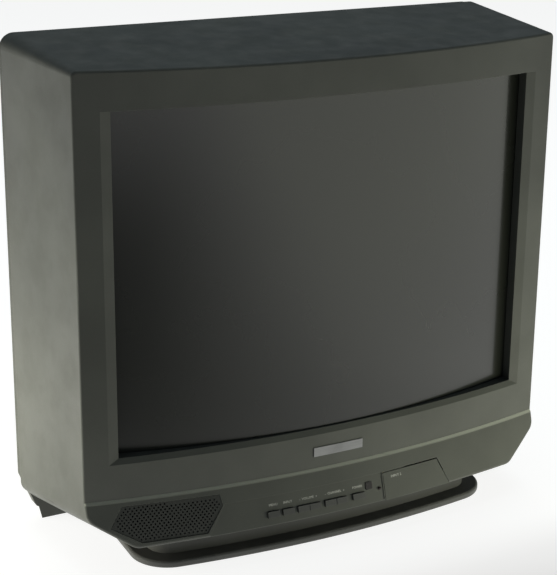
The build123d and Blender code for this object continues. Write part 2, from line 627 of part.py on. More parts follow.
def tube_funnel():
    mouth = rounded_slab(TUBE_W - 2 * GLASS, TUBE_H - 2 * GLASS, TUBE_CORNER_R - GLASS / 2,
                         PANEL_DEEP - 1, PANEL_DEEP + 4)
    return funnel_solid(0) - funnel_solid(FUNNEL_T) - mouth


def tube_neck():
    return tube((0, THROAT_Y, TUBE_Z), (0, 1, 0), NECK_R, NECK_R - NECK_T, NECK_END_Y - THROAT_Y)


def tube_base():
    base = rod((0, NECK_END_Y, TUBE_Z), (0, 1, 0), NECK_R - 1, 5)
    for i in range(9):
        turn = radians(20 + 40 * i)
        start = (9.0 * cos(turn), NECK_END_Y + 5, TUBE_Z + 9.0 * sin(turn))
        base += rod(start, (0, 1, 0), 0.6, 6)
    return base


def shrink_band():
    y0, y1 = LUG_Y - 8, LUG_Y - 8 + BAND_W
    grow = 2 * (BAND_T + 0.05)
    outer = rounded_slab(TUBE_W + grow, TUBE_H + grow, TUBE_CORNER_R + BAND_T, y0, y1)
    band = outer - rounded_slab(TUBE_W + 0.1, TUBE_H + 0.1, TUBE_CORNER_R, y0 - 1, y1 + 1)
    for x, z in LUGS:
        lug = rod((x, LUG_Y, z), (0, 1, 0), LUG_OUT, 2.4)
        tab = Pos(x - 5 * x / abs(x), LUG_Y + 1.2, z - 5 * (z - TUBE_Z) / abs(z - TUBE_Z)) * Box(20,
                2.4, 20)
        lug = (lug + tab) - rounded_slab(TUBE_W + 0.1, TUBE_H + 0.1, TUBE_CORNER_R, y0, y1)
        band += lug - rod((x, LUG_Y - 1, z), (0, 1, 0), TUBE_SCREW_R + 0.3, 6)
    return band


def tube_screws():
    screws = []
    for x, z in LUGS:
        shank = rod((x, LUG_Y - 16, z), (0, 1, 0), TUBE_SCREW_R - 0.03, 20)
        washer = rod((x, LUG_Y + 2.4, z), (0, 1, 0), 7.0, 1.2)
        head = Plane(origin=(x, LUG_Y + 3.6, z), z_dir=(0, 1, 0)) * extrude(RegularPolygon(4.6, 6), 3.4)
        screws.append(shank + washer + head)
    return as_part(*screws)


def aperture_grille():
    """Thin bowed sheet behind the glass that the beams pass through."""
    radius = TUBE_FACE_R - GLASS - MASK_GAP
    centre = Pos(0, GLASS_Y + TUBE_FACE_R, TUBE_Z)
    sheet = centre * (Cylinder(radius, SCREEN_H) - Cylinder(radius - 0.6, SCREEN_H + 2))
    return sheet & rounded_slab(SCREEN_W, SCREEN_H - 2, 3.0, -60, 60)


def grille_frame():
    """Bent steel frame that keeps the sheet tight."""
    radius = TUBE_FACE_R - GLASS - MASK_GAP - 0.6
    block = rounded_slab(SCREEN_W, SCREEN_H - 2, 6.0, -60, 46)
    block -= rounded_slab(SCREEN_W - 24, SCREEN_H - 26, 6.0, -61, 47)
    return block & (Pos(0, GLASS_Y + TUBE_FACE_R, TUBE_Z) * Cylinder(radius, SCREEN_H + 10))


def inner_shield():
    """Sheet-steel cone that keeps stray fields off the beams."""
    def cone(inset):
        near, far = (SCREEN_W - 26 - 2 * inset, SCREEN_H - 28 - 2 * inset), (230.0 - 2 * inset,
                160.0 - 2 * inset)
        planes = [Plane(origin=(0, y, TUBE_Z), x_dir=(1, 0, 0), z_dir=(0, -1, 0))
                  for y in (46.0, 132.0)]
        return loft([planes[0] * RectangleRounded(*near, 12),
                     planes[1] * RectangleRounded(*far, 30)], ruled=True)

    flange = rounded_slab(SCREEN_W - 4, SCREEN_H - 6, 6.0, 46, 47) - rounded_slab(SCREEN_W - 40,
            SCREEN_H - 42, 12, 45, 48)
    return (cone(0) - cone(1.0)) + flange


def electron_gun():
    """Row of cylinders on the neck's axis, held by two glass rods."""
    start = THROAT_Y + 16
    stack = [(0, 30, 10.4), (33, 22, 9.6), (58, 12, 10.4), (73, 9, 9.0), (85, 12, 8.0)]
    body = rod((0, start, TUBE_Z), (0, 1, 0), 4.0, NECK_END_Y - start)
    for offset, length, radius in stack:
        body += rod((0, start + offset, TUBE_Z), (0, 1, 0), radius, length)
    for side in (-1, 1):
        body += rod((side * 10.6, start + 6, TUBE_Z), (0, 1, 0), 1.6, 90)
    return body


def anode_height():
    return funnel_section(ANODE_Y, 0).bounding_box().max.Z


def anode_cap():
    top = anode_height()
    cap = rod((0, ANODE_Y, top - 3), (0, 0.55, 0.84), 17.0, 5)
    cap += Plane(origin=(0, ANODE_Y + 2, top + 1), z_dir=(0, 0.55, 0.84)) * Cone(13, 7, 7,
            align=(Align.CENTER, Align.CENTER, Align.MIN))
    return cap - funnel_solid(0)


def ring_cone(y0, y1, r0, r1, bore0, bore1):
    plane = Plane(origin=(0, y0, TUBE_Z), z_dir=(0, 1, 0))
    place = (Align.CENTER, Align.CENTER, Align.MIN)
    return plane * (Cone(r0, r1, y1 - y0, align=place) - Cone(bore0, bore1, y1 - y0, align=place))


def ring(y0, y1, radius, bore):
    return tube((0, y0, TUBE_Z), (0, 1, 0), radius, bore, y1 - y0)


def yoke_former():
    bell = ring_cone(YOKE_Y0, YOKE_Y1, 60, 24, 57, 21)
    bell += ring(YOKE_Y0, YOKE_Y0 + 3, 72, 57) + ring(YOKE_Y1 - 3, YOKE_Y1, 46, NECK_R + 0.15)
    bell += ring(YOKE_Y1 - 3, YOKE_Y1 + 16, 19, NECK_R + 0.15)
    return bell - funnel_solid(0)


def yoke_coils():
    """Frame coils wound round the bell, with the bent-up ends front and back."""
    coil = ring_cone(YOKE_Y0 + 3, YOKE_Y1 - 3, 64, 29, 50, 15)
    coil += ring(YOKE_Y0 + 3, YOKE_Y0 + 12, 70, 50) + ring(YOKE_Y1 - 13, YOKE_Y1 - 3, 43, 24)
    return coil - ring_cone(YOKE_Y0, YOKE_Y1, 60, 24, 0.01, 0.02)


def yoke_core():
    core = ring_cone(YOKE_Y0 + 16, YOKE_Y1 - 16, 66, 50, 52, 34)
    return core - ring_cone(YOKE_Y0 + 3, YOKE_Y1 - 3, 64, 29, 0.01, 0.02)


def convergence_rings():
    """Three pairs of magnet rings with tabs, on the neck behind the yoke."""
    rings = []
    for i in range(6):
        y = YOKE_Y1 + 20 + i * 3.4
        ring = tube((0, y, TUBE_Z), (0, 1, 0), 24, 16.2, 2.6)
        turn = 60 * i + 15
        tab = Pos(0, y + 1.3, TUBE_Z) * Rot(0, turn, 0) * Pos(0, 0, 26) * Box(6, 2.6, 8)
        rings.append(ring + tab)
    return as_part(*rings)


def ring_sleeve():
    sleeve = tube((0, YOKE_Y1 + 16.2, TUBE_Z), (0, 1, 0), 16.1, NECK_R + 0.15, 26)
    return sleeve + tube((0, YOKE_Y1 + 16.2, TUBE_Z), (0, 1, 0), 20, NECK_R + 0.15, 3)


def neck_board():
    y = NECK_END_Y + 9
    board = box(-46, 46, y, y + BOARD_T, TUBE_Z - 52, TUBE_Z + 40)
    return board - rod((0, y - 1, TUBE_Z), (0, 1, 0), 12.0, 6)


def tube_socket():
    y = NECK_END_Y + 5.2
    socket = rod((0, y, TUBE_Z), (0, 1, 0), 15.5, 3.7) + rod((0, y, TUBE_Z), (0, 1, 0), 11.9, 13)
    for i in range(9):
        turn = radians(20 + 40 * i)
        socket -= rod((9.0 * cos(turn), y - 1, TUBE_Z + 9.0 * sin(turn)), (0, 1, 0), 0.7, 8)
    return socket


def neck_board_parts():
    """Three output transistors on their heat sinks and the small parts round them."""
    y = NECK_END_Y + 9
    parts = [box(x - 4, x + 4, y - 16, y, TUBE_Z + 20, TUBE_Z + 32) for x in (-28, 0, 28)]
    parts += [rod((x, y, z), (0, -1, 0), 3, 11) for x,
              z in ((-32, 206 + 30), (-18, 228), (20, 228), (34, 238))]
    return as_part(*parts)


def degauss_coil():
    """Taped coil that lies round the tube behind the band."""
    y = PANEL_DEEP + 9
    path = Plane(origin=(0, y, TUBE_Z), x_dir=(1, 0, 0), z_dir=(0, -1, 0))
    outer = extrude(path * RectangleRounded(TUBE_W + 14, TUBE_H + 14, 44), -9)
    inner = extrude(path * RectangleRounded(TUBE_W - 3, TUBE_H - 3, 38), -9)
    coil = outer - inner
    return fillet(coil.edges(), 3.6) - funnel_solid(-CLEAR)


def ground_braid():
    """Tinned braid stretched under the funnel, between the two lower corners of the faceplate."""
    half, y0, y1 = TUBE_W / 2 - 30, PANEL_DEEP + 8, PANEL_DEEP + 52
    low = funnel_section(y0, 0).bounding_box().min.Z - 4
    corners = [(-half, y0, low), (-half * 0.6, y1, low + 2), (half * 0.6, y1, low + 2), (half, y0, low)]
    path = FilletPolyline(*corners, radius=30)
    return sweep(Plane(origin=path @ 0, z_dir=path % 0) * Circle(1.6), path)


def main_board():
    board = box(-BOARD_HALF, BOARD_HALF, BOARD_Y0, BOARD_STEP_Y, BOARD_Z, BOARD_TOP)
    board += box(-BOARD_BACK_HALF, BOARD_BACK_HALF, BOARD_STEP_Y, BOARD_Y1, BOARD_Z, BOARD_TOP)
    for x, y in BOARD_SCREWS:
        board -= rod((x, y, BOARD_Z - 1), (0, 0, 1), BOARD_SCREW_R + 0.3, 4)
    return board


def board_posts():
    """Posts between the floor and the board: two stand in the front moulding, two on the cover."""
    posts = []
    for x, y in BOARD_SCREWS:
        inside = shell(WALL, RIM_Y) if y < RIM_Y else cover_body(WALL)
        post = rod((x, y, 0), (0, 0, 1), 4.5, BOARD_Z) - rod((x, y, BOARD_Z - 14), (0, 0, 1),
                BOARD_SCREW_R, 20)
        posts.append(post & inside)
    return as_part(*posts)


def screw(x, y, z, direction, radius, length, head_r, head_h):
    """Shank from (x, y, z) along direction, with its head on the near side."""
    back = Vector(*direction) * -head_h
    head = rod(Vector(x, y, z) + back, direction, head_r, head_h)
    slot = Plane(origin=Vector(x, y, z) + back, z_dir=direction) * Box(head_r * 1.2, 0.9, 1.4)
    cross = Plane(origin=Vector(x, y, z) + back, z_dir=direction) * Box(0.9, head_r * 1.2, 1.4)
    return head + rod((x, y, z), direction, radius - 0.03, length) - slot - cross


def chassis_screws():
    """The same screw at eight places: main board to its posts, and plinth to the front moulding."""
    screws = [screw(x, y, BOARD_TOP, (0, 0, -1), *CHASSIS_SCREW) for x, y in BOARD_SCREWS]
    screws += [screw(x, y, PLINTH_FLOOR, (0, 0, 1), *CHASSIS_SCREW) for x, y in PLINTH_SCREWS]
    return as_part(*screws)


def cover_screws():
    y = RIM_Y + COVER_STEP
    return as_part(*[screw(x, y, z, (0, -1, 0), COVER_SCREW_R, 22, 4.0, 2.6) for x, z in COVER_SCREWS])


def speaker_screws():
    frame = chin_frame(SPEAKER_X, SPEAKER_Z)
    screws = []
    for u, v in SPEAKER_HOLES:
        start = frame.from_local_coords(Vector(u, v, -SPEAKER_DEEP - 1.6))
        screws.append(screw(*start, tuple(frame.z_dir), SPEAKER_SCREW_R, 5.4, 2.8, 1.8))
    return as_part(*screws)


def speaker_horn(depth0, size0, depth1, size1):
    """Tapered oval block on the speaker's axis between two depths below its seat."""
    frame = chin_frame(SPEAKER_X, SPEAKER_Z)
    sections = []
    for depth, (width, height) in ((depth0, size0), (depth1, size1)):
        corner = min(width, height) / 2 - 0.05
        sections.append(frame.offset(-SPEAKER_DEEP - depth) * RectangleRounded(width, height, corner))
    return loft(sections, ruled=True)


def speaker_disc(depth0, depth1, width, height):
    corner = min(width, height) / 2 - 0.05
    return speaker_plate(SPEAKER_DEEP + depth0, SPEAKER_DEEP + depth1, width, height, corner)


def speaker_frame():
    """Pressed frame: plate with the screw holes, an oval basket and its back."""
    plate = speaker_plate(SPEAKER_DEEP, SPEAKER_DEEP + 1.6, SPEAKER_W, SPEAKER_H, 5)
    body = plate + speaker_horn(0, (81, 28), 18, (40, 27)) - speaker_horn(0, (78.6, 25.6), 18,
            (37.6, 24.6))
    body += speaker_disc(18, 19.4, 40, 27) - speaker_disc(17, 21, 18, 18)
    frame = chin_frame(SPEAKER_X, SPEAKER_Z)
    for u, v in SPEAKER_HOLES:
        start = frame.from_local_coords(Vector(u, v, -SPEAKER_DEEP + 1))
        body -= rod(start, -frame.z_dir, SPEAKER_SCREW_R + 0.3, 6)
    return body


def speaker_magnet():
    return speaker_disc(19.4, 30, 25, 25) + speaker_disc(11, 21, 9, 9)


def speaker_cone():
    """Paper cone with its roll at the rim and the voice-coil tube behind."""
    cone = speaker_horn(1.4, (70, 22), 12, (15, 15)) - speaker_horn(1.4, (68.6, 20.6), 12, (13.6, 13.6))
    rim = speaker_disc(0.6, 1.4, 74, 24.8) - speaker_disc(0.5, 1.5, 69.4, 21.4)
    voice = speaker_disc(11.4, 17, 14, 14) - speaker_disc(11, 18, 13, 13)
    return cone + rim + voice


def speaker_grille():
    """Flat perforated plate set into the panel in front of the speaker."""
    corners = grille_corners()
    holes = []
    rows = int(20 / GRILLE_PITCH_Z)
    for row in range(-rows, rows + 1):
        shift = GRILLE_PITCH_X / 2 if row % 2 else 0.0
        for column in range(-15, 16):
            u, v = column * GRILLE_PITCH_X + shift, row * GRILLE_PITCH_Z
            if inside_outline(corners, u, v, GRILLE_HOLE / 2 + 1.0):
                holes.append(Pos(u, v) * Wire.make_circle(GRILLE_HOLE / 2))
    pierced = Face(Wire.make_polygon(corners), holes)
    return extrude(chin_frame(GRILLE_X, GRILLE_Z).offset(-GRILLE_DEEP) * pierced, -GRILLE_T)


def inside_outline(corners, u, v, margin):
    """True where (u, v) lies within the convex outline, at least `margin` from its edges."""
    distances = []
    for (u0, v0), (u1, v1) in zip(corners, corners[1:] + corners[:1]):
        length = sqrt((u1 - u0) ** 2 + (v1 - v0) ** 2)
        distances.append(((u1 - u0) * (v - v0) - (v1 - v0) * (u - u0)) / length)
    return min(distances) > margin or max(distances) < -margin


def key(x, width, play=CLEAR):
    """Key cap through the panel, with a flange behind the wall that keeps it in."""
    cap = chin_block(x, KEY_Z, width, KEY_H, -KEY_PROUD, KEY_DEEP)
    flange = chin_block(x, KEY_Z, width + 2 * FLANGE, KEY_H + 2 * FLANGE, WALL + play, KEY_DEEP)
    return cap + flange


def rocker_axis(x, radius, reach):
    """Rod on a rocker's pivot, `reach` long to each side of its middle."""
    frame = chin_frame(x, KEY_Z)
    return rod(frame.from_local_coords(Vector(0, -reach, -PIVOT_DEEP)), frame.y_dir, radius, 2 * reach)


def rocker(x, width):
    """Two-way rocker: turns on a pin behind its middle, with its ends over two switches."""
    body = key(x, width, CLEAR + ROCKER_LIFT) + rocker_axis(x, PIVOT_R, PIVOT_REACH)
    notch = chin_frame(x, KEY_Z).offset(KEY_PROUD) * Box(0.9, KEY_H + 1, 1.0)
    return body - notch


def board_plane():
    """Front of the key board, resting on the tips of its two posts."""
    half_gap = (KEY_BOARD_POSTS[1][0] - KEY_BOARD_POSTS[0][0]) / 2
    return chin_frame(KEY_BOARD_X, KEY_Z).offset(-SWITCH_DEEP - half_gap ** 2 / (2 * BOW_R))


def key_switches():
    """Switches behind the keys; two behind each rocker."""
    places = [(MENU_X, 0), (INPUT_X, 0), (POWER_X, 0)]
    places += [(x, side * (ROCKER_W / 2 - 4)) for x in (VOLUME_X, CHANNEL_X) for side in (-1, 1)]
    behind = board_plane() * Box(260, 90, 30, align=(Align.CENTER, Align.CENTER, Align.MAX))
    switches = []
    for x, shift in places:
        frame = chin_frame(x, KEY_Z)
        start = frame.from_local_coords(Vector(shift, 0, -KEY_DEEP - KEY_TRAVEL - 0.15))
        can = extrude(frame.offset(-8.6) * Pos(shift, 0) * Rectangle(6, 6), -9)
        switches.append(rod(start, -frame.z_dir, 1.7, 8) + can - behind)
    return as_part(*switches)


def control_boards():
    """Board behind the keys, and the one behind the front sockets."""
    keys = extrude(board_plane() * Pos(18.2, 6.3) * Rectangle(139, 19.6), -BOARD_T)
    y = pocket_floor_y() + 11
    return as_part(keys, box(DOOR_X - 42, DOOR_X + 30, y, y + BOARD_T, 38, 72))


def sensor_window():
    return chin_block(SENSOR_X, SENSOR_Z, 6.9, 6.9, -0.1, 3.4, 1.0)


def standby_lamp():
    frame = chin_frame(LAMP_X, LAMP_Z)
    dome = Plane(origin=frame.origin, z_dir=frame.z_dir) * Sphere(1.5)
    return dome + rod(frame.origin, -frame.z_dir, 1.5, 5)


def badge():
    """Blank badge that follows the bow of the face."""
    plate = upright([(BADGE_X + sx * BADGE_W / 2, BADGE_Z + sz * BADGE_H / 2) for sx,
                     sz in CORNERS], FRONT_Y, 0)
    return plate & (behind_face(out=0.9) - behind_face())


def jack_door():
    plate = door_prism(0, 0, FRONT_Y - 5, 5) & panel_layer(0, DOOR_T)
    frame = door_frame()
    half = (DOOR_X1 - DOOR_X0) / 2 + 5
    heel = frame * Pos(0, -HINGE_UP - 2, -HINGE_DEEP) * Box(2 * half, 2 * HINGE_UP + 4, 12)
    rise = (DOOR_TOP - DOOR_BOTTOM - HINGE_UP) / cos(radians(CHIN_TILT))
    plate = plate - (heel - hinge_rod(HEEL_R, 5, 5)) - frame * Pos(0, rise + 10, 0) * Box(2 * half,
            20, 40)
    barrel = hinge_rod(BARREL_R, -1.0, -3.0)
    return plate + barrel + hinge_rod(HINGE_PIN_R, 1.8, 1.8)


def jack_plate():
    y = pocket_floor_y()
    plate = door_prism(DOOR_GAP + 2.0, 2.0, y, y + 2.0) & shell(WALL + 0.05, RIM_Y)
    for i in range(3):
        plate -= rod((DOOR_X - 6 + (i - 1) * JACK_PITCH, y - 1, JACK_Z), (0, 1, 0), JACK_R + 0.05, 4)
    return plate


def jack(x, y, z, direction, out, back):
    """Phono socket: collar, barrel and centre hole, with a block behind the plate."""
    barrel = rod((x, y, z), direction, JACK_R, out)
    behind = tuple(-d for d in direction)
    tail = rod((x, y, z), behind, JACK_R, 2.0)
    block = Pos(x, y + behind[1] * (2.0 + back / 2), z) * Box(13, back, 13)
    bore = rod(Vector(x, y, z) + Vector(*direction) * (out - 8), direction, 1.6, 9)
    return barrel + tail + block - bore


def front_jacks():
    y = pocket_floor_y()
    return as_part(*[jack(DOOR_X - 6 + (i - 1) * JACK_PITCH, y, JACK_Z, (0, -1, 0), 8.0, 9.0)
                     for i in range(3)])


def tuner():
    """Screened tuner box at the rear edge of the board, with the antenna socket through the cover."""
    can = box(ANTENNA_X - 24, ANTENNA_X + 24, BOARD_Y1 - 46, BOARD_Y1 - 2, BOARD_TOP, BOARD_TOP + 38)
    return fillet(can.edges().filter_by(Axis.Z), 1.5)


def antenna_socket():
    y = BOARD_Y1 - 2
    thread = rod((ANTENNA_X, y, ANTENNA_Z), (0, 1, 0), 4.5, BACK_Y - y)
    thread += rod((ANTENNA_X, BACK_WALL_Y + 1, ANTENNA_Z), (0, 1, 0), 4.7, SOCKET_OUT - 1)
    nut = Plane(origin=(ANTENNA_X, y, ANTENNA_Z), z_dir=(0, 1, 0)) * extrude(RegularPolygon(6.4, 6),
            BACK_WALL_Y - WALL - CLEAR - y)
    return thread + nut - rod((ANTENNA_X, BACK_Y - 8, ANTENNA_Z), (0, 1, 0), 1.0, 9)


def rear_jacks():
    y = BACK_WALL_Y - WALL - 0.5
    sockets = []
    for i in range(3):
        x = REAR_JACK_X + i * REAR_JACK_PITCH
        socket = rod((x, y, REAR_JACK_Z), (0, 1, 0), JACK_R, BACK_WALL_Y + 7 - y)
        sockets.append(socket - rod((x, BACK_WALL_Y - 1, REAR_JACK_Z), (0, 1, 0), 1.6, 9))
    x1 = REAR_JACK_X + 2 * REAR_JACK_PITCH + 9
    block = box(REAR_JACK_X - 9, x1, y - 12, y, BOARD_TOP, REAR_JACK_Z + 10)
    return block + sockets


def mains_inlet():
    """Two-pin inlet for a lead, in the cover's back wall."""
    body = box(-INLET_W / 2 + 0.2, INLET_W / 2 - 0.2, BACK_WALL_Y - 22, BACK_WALL_Y - 0.2,
               -INLET_H / 2 + 0.2, INLET_H / 2 - 0.2)
    body += box(-INLET_W / 2 - 3, INLET_W / 2 + 3, BACK_WALL_Y - 6, BACK_WALL_Y - WALL, -INLET_H / 2
                - 2, INLET_H / 2 + 2)
    body -= box(-8, 8, BACK_WALL_Y - 16, BACK_WALL_Y + 1, -4, 4)
    for side in (-1, 1):
        body += rod((side * 4.3, BACK_WALL_Y - 17, 0), (0, 1, 0), 1.2, 12)
    return Pos(INLET_X, 0, INLET_Z) * body


def flyback():
    """Line transformer: potted block, ferrite core loop and the knob housing on its side."""
    block = box(FLYBACK_X - 24, FLYBACK_X + 24, FLYBACK_Y - 20, FLYBACK_Y + 20, BOARD_TOP, BOARD_TOP
                + 72)
    block = fillet(block.edges().filter_by(Axis.Z), 8)
    block += rod((FLYBACK_X, FLYBACK_Y, BOARD_TOP + 72), (0, 0, 1), 12, 9)
    housing = box(FLYBACK_X - 11, FLYBACK_X + 11, FLYBACK_Y + 20, FLYBACK_Y + 30, BOARD_TOP + 24,
                  BOARD_TOP + 72)
    for z in KNOB_Z:
        housing -= rod((FLYBACK_X, FLYBACK_Y + 22, z), (0, 1, 0), 1.6, 9)
    loop = box(FLYBACK_X - 42, FLYBACK_X - 20, FLYBACK_Y - 8, FLYBACK_Y + 8, BOARD_TOP + 14,
               BOARD_TOP + 60)
    loop -= box(FLYBACK_X - 33, FLYBACK_X - 24, FLYBACK_Y - 9, FLYBACK_Y + 9, BOARD_TOP + 25,
                BOARD_TOP + 49)
    return block + housing + loop - rod((FLYBACK_X, FLYBACK_Y, BOARD_TOP + 74), (0, 0, 1), 3.6, 9)


def trimmer_knob(z):
    """Screwdriver knob on the line transformer."""
    knob = rod((FLYBACK_X, FLYBACK_Y + 30.3, z), (0, 1, 0), KNOB_R, 8)
    knob += rod((FLYBACK_X, FLYBACK_Y + 23, z), (0, 1, 0), 1.55, 9)
    for i in range(12):
        turn = radians(30 * i)
        start = (FLYBACK_X + KNOB_R * cos(turn), FLYBACK_Y + 29, z + KNOB_R * sin(turn))
        knob -= rod(start, (0, 1, 0), 0.5, 12)
    return knob - Pos(FLYBACK_X, FLYBACK_Y + 38.3, z) * Box(7, 3, 1.2)


def anode_lead():
    """High-voltage lead from the line transformer's top up to the anode cap."""
    top = anode_height()
    start = Vector(FLYBACK_X, FLYBACK_Y, BOARD_TOP + 74.2)
    end = Vector(0, ANODE_Y + 7, top + 9.4)
    points = [start, (FLYBACK_X, FLYBACK_Y, 165), (128, 236, 230), (132, 206, 300), (112, 176, 366)]
    points += [(66, 146, 414), (20, 128, 432), end]
    radii = [18, 26, 30, 30, 26, 14]
    path = FilletPolyline(*points, radius=radii)
    return sweep(Plane(origin=path @ 0, z_dir=path % 0) * Circle(3.0), path)


def power_transformer():
    """Switching transformer: ferrite halves round a wound bobbin."""
    x, y = -96.0, 152.0
    core = box(x - 24, x + 24, y - 10, y + 10, BOARD_TOP + 6, BOARD_TOP + 44)
    bobbin = box(x - 17, x + 17, y - 20, y + 20, BOARD_TOP, BOARD_TOP + 38)
    return core + fillet(bobbin.edges().filter_by(Axis.Z), 4)


def heat_sinks():
    sinks = []
    for x, y in HEAT_SINKS:
        sink = box(x - 24, x + 24, y, y + 3, BOARD_TOP, BOARD_TOP + 48)
        for i in range(7):
            left = x - 24 + i * 7.6
            sink += box(left, left + 1.8, y + 3, y + 15, BOARD_TOP, BOARD_TOP + 48)
        sinks.append(sink)
    return as_part(*sinks)


def semiconductors():
    """Power transistors on the heat sinks, and the integrated circuits on the board."""
    parts = [box(x - 8, x + 8, y - 4.6, y, BOARD_TOP + 8, BOARD_TOP + 28) for x, y in HEAT_SINKS]
    for x, y, w, d in CHIPS:
        parts.append(box(x - w / 2, x + w / 2, y - d / 2, y + d / 2, BOARD_TOP, BOARD_TOP + 5))
    return as_part(*parts)


def capacitors():
    cans = []
    for x, y, radius, height in CAPACITORS:
        can = rod((x, y, BOARD_TOP), (0, 0, 1), radius, height)
        cans.append(fillet(can.edges().filter_by(GeomType.CIRCLE).group_by(Axis.Z)[-1], 0.8))
    return as_part(*cans)


PIECES = {
    "rear_cover": rear_cover, "base_plinth": base_plinth, "rubber_pads": rubber_pads,
    "speaker_grille": speaker_grille, "badge": badge, "sensor_window": sensor_window,
    "standby_lamp": standby_lamp, "jack_door": jack_door, "jack_plate": jack_plate,
    "front_jacks": front_jacks, "control_boards": control_boards, "key_switches": key_switches,
    "tube_faceplate": tube_faceplate, "tube_funnel": tube_funnel,
    "tube_neck": tube_neck, "tube_base": tube_base, "tube_socket": tube_socket,
    "shrink_band": shrink_band, "tube_screws": tube_screws, "aperture_grille": aperture_grille,
    "grille_frame": grille_frame, "inner_shield": inner_shield, "electron_gun": electron_gun,
    "anode_cap": anode_cap, "anode_lead": anode_lead, "yoke_former": yoke_former,
    "yoke_coils": yoke_coils, "yoke_core": yoke_core, "ring_sleeve": ring_sleeve,
    "convergence_rings": convergence_rings, "neck_board": neck_board,
    "neck_board_parts": neck_board_parts, "degauss_coil": degauss_coil,
    "ground_braid": ground_braid, "main_board": main_board, "board_posts": board_posts,
    "chassis_screws": chassis_screws, "cover_screws": cover_screws,
    "speaker_screws": speaker_screws, "speaker_frame": speaker_frame,
    "speaker_magnet": speaker_magnet, "speaker_cone": speaker_cone, "tuner": tuner,
    "antenna_socket": antenna_socket, "rear_jacks": rear_jacks, "mains_inlet": mains_inlet,
    "flyback_transformer": flyback,
    "power_transformer": power_transformer, "heat_sinks": heat_sinks,
    "semiconductors": semiconductors, "capacitors": capacitors,
}


cabinet = front_cabinet()
CENTRE_Y = (cabinet.bounding_box().min.Y + BACK_Y) / 2
save("front_cabinet", cabinet)
save("menu_key", key(MENU_X, MENU_W))
save("input_key", key(INPUT_X, INPUT_W))
save("power_key", key(POWER_X, POWER_W))
save("volume_rocker", rocker(VOLUME_X, ROCKER_W))
save("channel_rocker", rocker(CHANNEL_X, ROCKER_W))
save("focus_knob", trimmer_knob(KNOB_Z[1]))
save("screen_knob", trimmer_knob(KNOB_Z[0]))
for node, build in PIECES.items():
    save(node, build())
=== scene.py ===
"""Table-top television with a picture tube: finishes, key lettering, floor, lights and camera.

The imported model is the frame. Every finish is procedural and reads the model's own coordinates,
so it stays in place when a key, the door or a knob moves.
"""

import math

import bpy
from mathutils import Matrix, Vector
from mathutils.bvhtree import BVHTree


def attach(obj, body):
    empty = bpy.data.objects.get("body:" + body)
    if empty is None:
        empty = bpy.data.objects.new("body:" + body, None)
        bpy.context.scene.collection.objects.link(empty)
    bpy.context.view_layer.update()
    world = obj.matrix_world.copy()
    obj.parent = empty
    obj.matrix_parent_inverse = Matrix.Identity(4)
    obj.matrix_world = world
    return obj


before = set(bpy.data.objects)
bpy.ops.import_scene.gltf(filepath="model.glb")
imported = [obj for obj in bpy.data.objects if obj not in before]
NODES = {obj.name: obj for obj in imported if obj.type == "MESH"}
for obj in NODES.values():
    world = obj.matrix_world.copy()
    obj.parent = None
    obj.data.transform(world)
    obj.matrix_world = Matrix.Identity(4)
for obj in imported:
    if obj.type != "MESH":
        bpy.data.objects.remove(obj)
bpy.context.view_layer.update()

bl_info = {
    "name": "Tube television finishes",
    "version": (1, 0, 0),
    "blender": (4, 5, 0),
    "location": "View3D > Sidebar > Television",
    "description": "Gives a packed tube television its finishes, lettering and studio",
    "category": "Object",
}

MM = 0.001

# Places on the set where one finish meets another, in the model's own frame.
TUBE_AXIS_Z = 271 * MM
# BEAD, BEAD_BACK_Y and BEAD_HALF_WIDTH bound a painted highlight: the upward face of the crease
# bead made lighter in colour.
BEAD = (75.0 * MM, 78.2 * MM)
BEAD_BACK_Y = -160 * MM
BEAD_HALF_WIDTH = 243 * MM
COATING_EDGE = (26 * MM, 27.5 * MM)
SMOKED_NECK = (70 * MM, 84 * MM)
BOBBIN_Y = -46.9 * MM
BOBBIN_FLANGE = (9.6 * MM, 10.2 * MM)

# Repeats of the finishes that follow a pitch.
PHOSPHOR_PITCH = 0.6 * MM
TAPE_PITCH = 14 * MM
BRAID_PITCH = 1.4 * MM
WIRE_PITCH = 0.55 * MM
RING_PITCH = 6.0 * MM
THREAD_PITCH = 0.8 * MM
TRACK_PITCH = (5.0 * MM, 7.0 * MM)
PAD_PITCH = 6 * MM
COMPONENT_SIZE = 9 * MM

# Phono sockets, in millimetres: places across the row, height of the row and shell radius.
FRONT_SOCKETS = ((56.25, 78.25, 100.25), 50.5, 4.4)
REAR_SOCKETS = ((-52.0, -35.0, -18.0), 70.0, 4.9)
SHELL_WALL = 1.2

# Printed words: text, place across, height of the foot, capital height, node and body it rides.
KEY_WORDS_Z = 52.2 * MM
KEY_WORDS_HEIGHT = 2.2 * MM
WORDS = [
    ("MENU", -71.0 * MM, KEY_WORDS_Z, KEY_WORDS_HEIGHT, "front_cabinet", "cabinet"),
    ("INPUT", -56.4 * MM, KEY_WORDS_Z, KEY_WORDS_HEIGHT, "front_cabinet", "cabinet"),
    ("-  VOLUME  +", -35.3 * MM, KEY_WORDS_Z, KEY_WORDS_HEIGHT, "front_cabinet", "cabinet"),
    ("-  CHANNEL  +", -7.3 * MM, KEY_WORDS_Z, KEY_WORDS_HEIGHT, "front_cabinet", "cabinet"),
    ("POWER", 17.2 * MM, KEY_WORDS_Z, KEY_WORDS_HEIGHT, "front_cabinet", "cabinet"),
    ("INPUT 2", 61.0 * MM, 54.6 * MM, 2.3 * MM, "jack_door", "jack_door"),
]
CAPITAL_SHARE = 0.7
INK_DEPTH = 0.03 * MM
INK_LIFT = 0.02 * MM

# Blank label on the back: its middle, its width, thickness and height, and its ruled lines.
LABEL_X = 0.02
LABEL_Z = 0.112
LABEL_SIZE = (70 * MM, 0.3 * MM, 34 * MM)
LABEL_LIFT = 0.1 * MM
LINE_PITCH = 3.2 * MM
RULED_HALF = (30 * MM, 13 * MM)

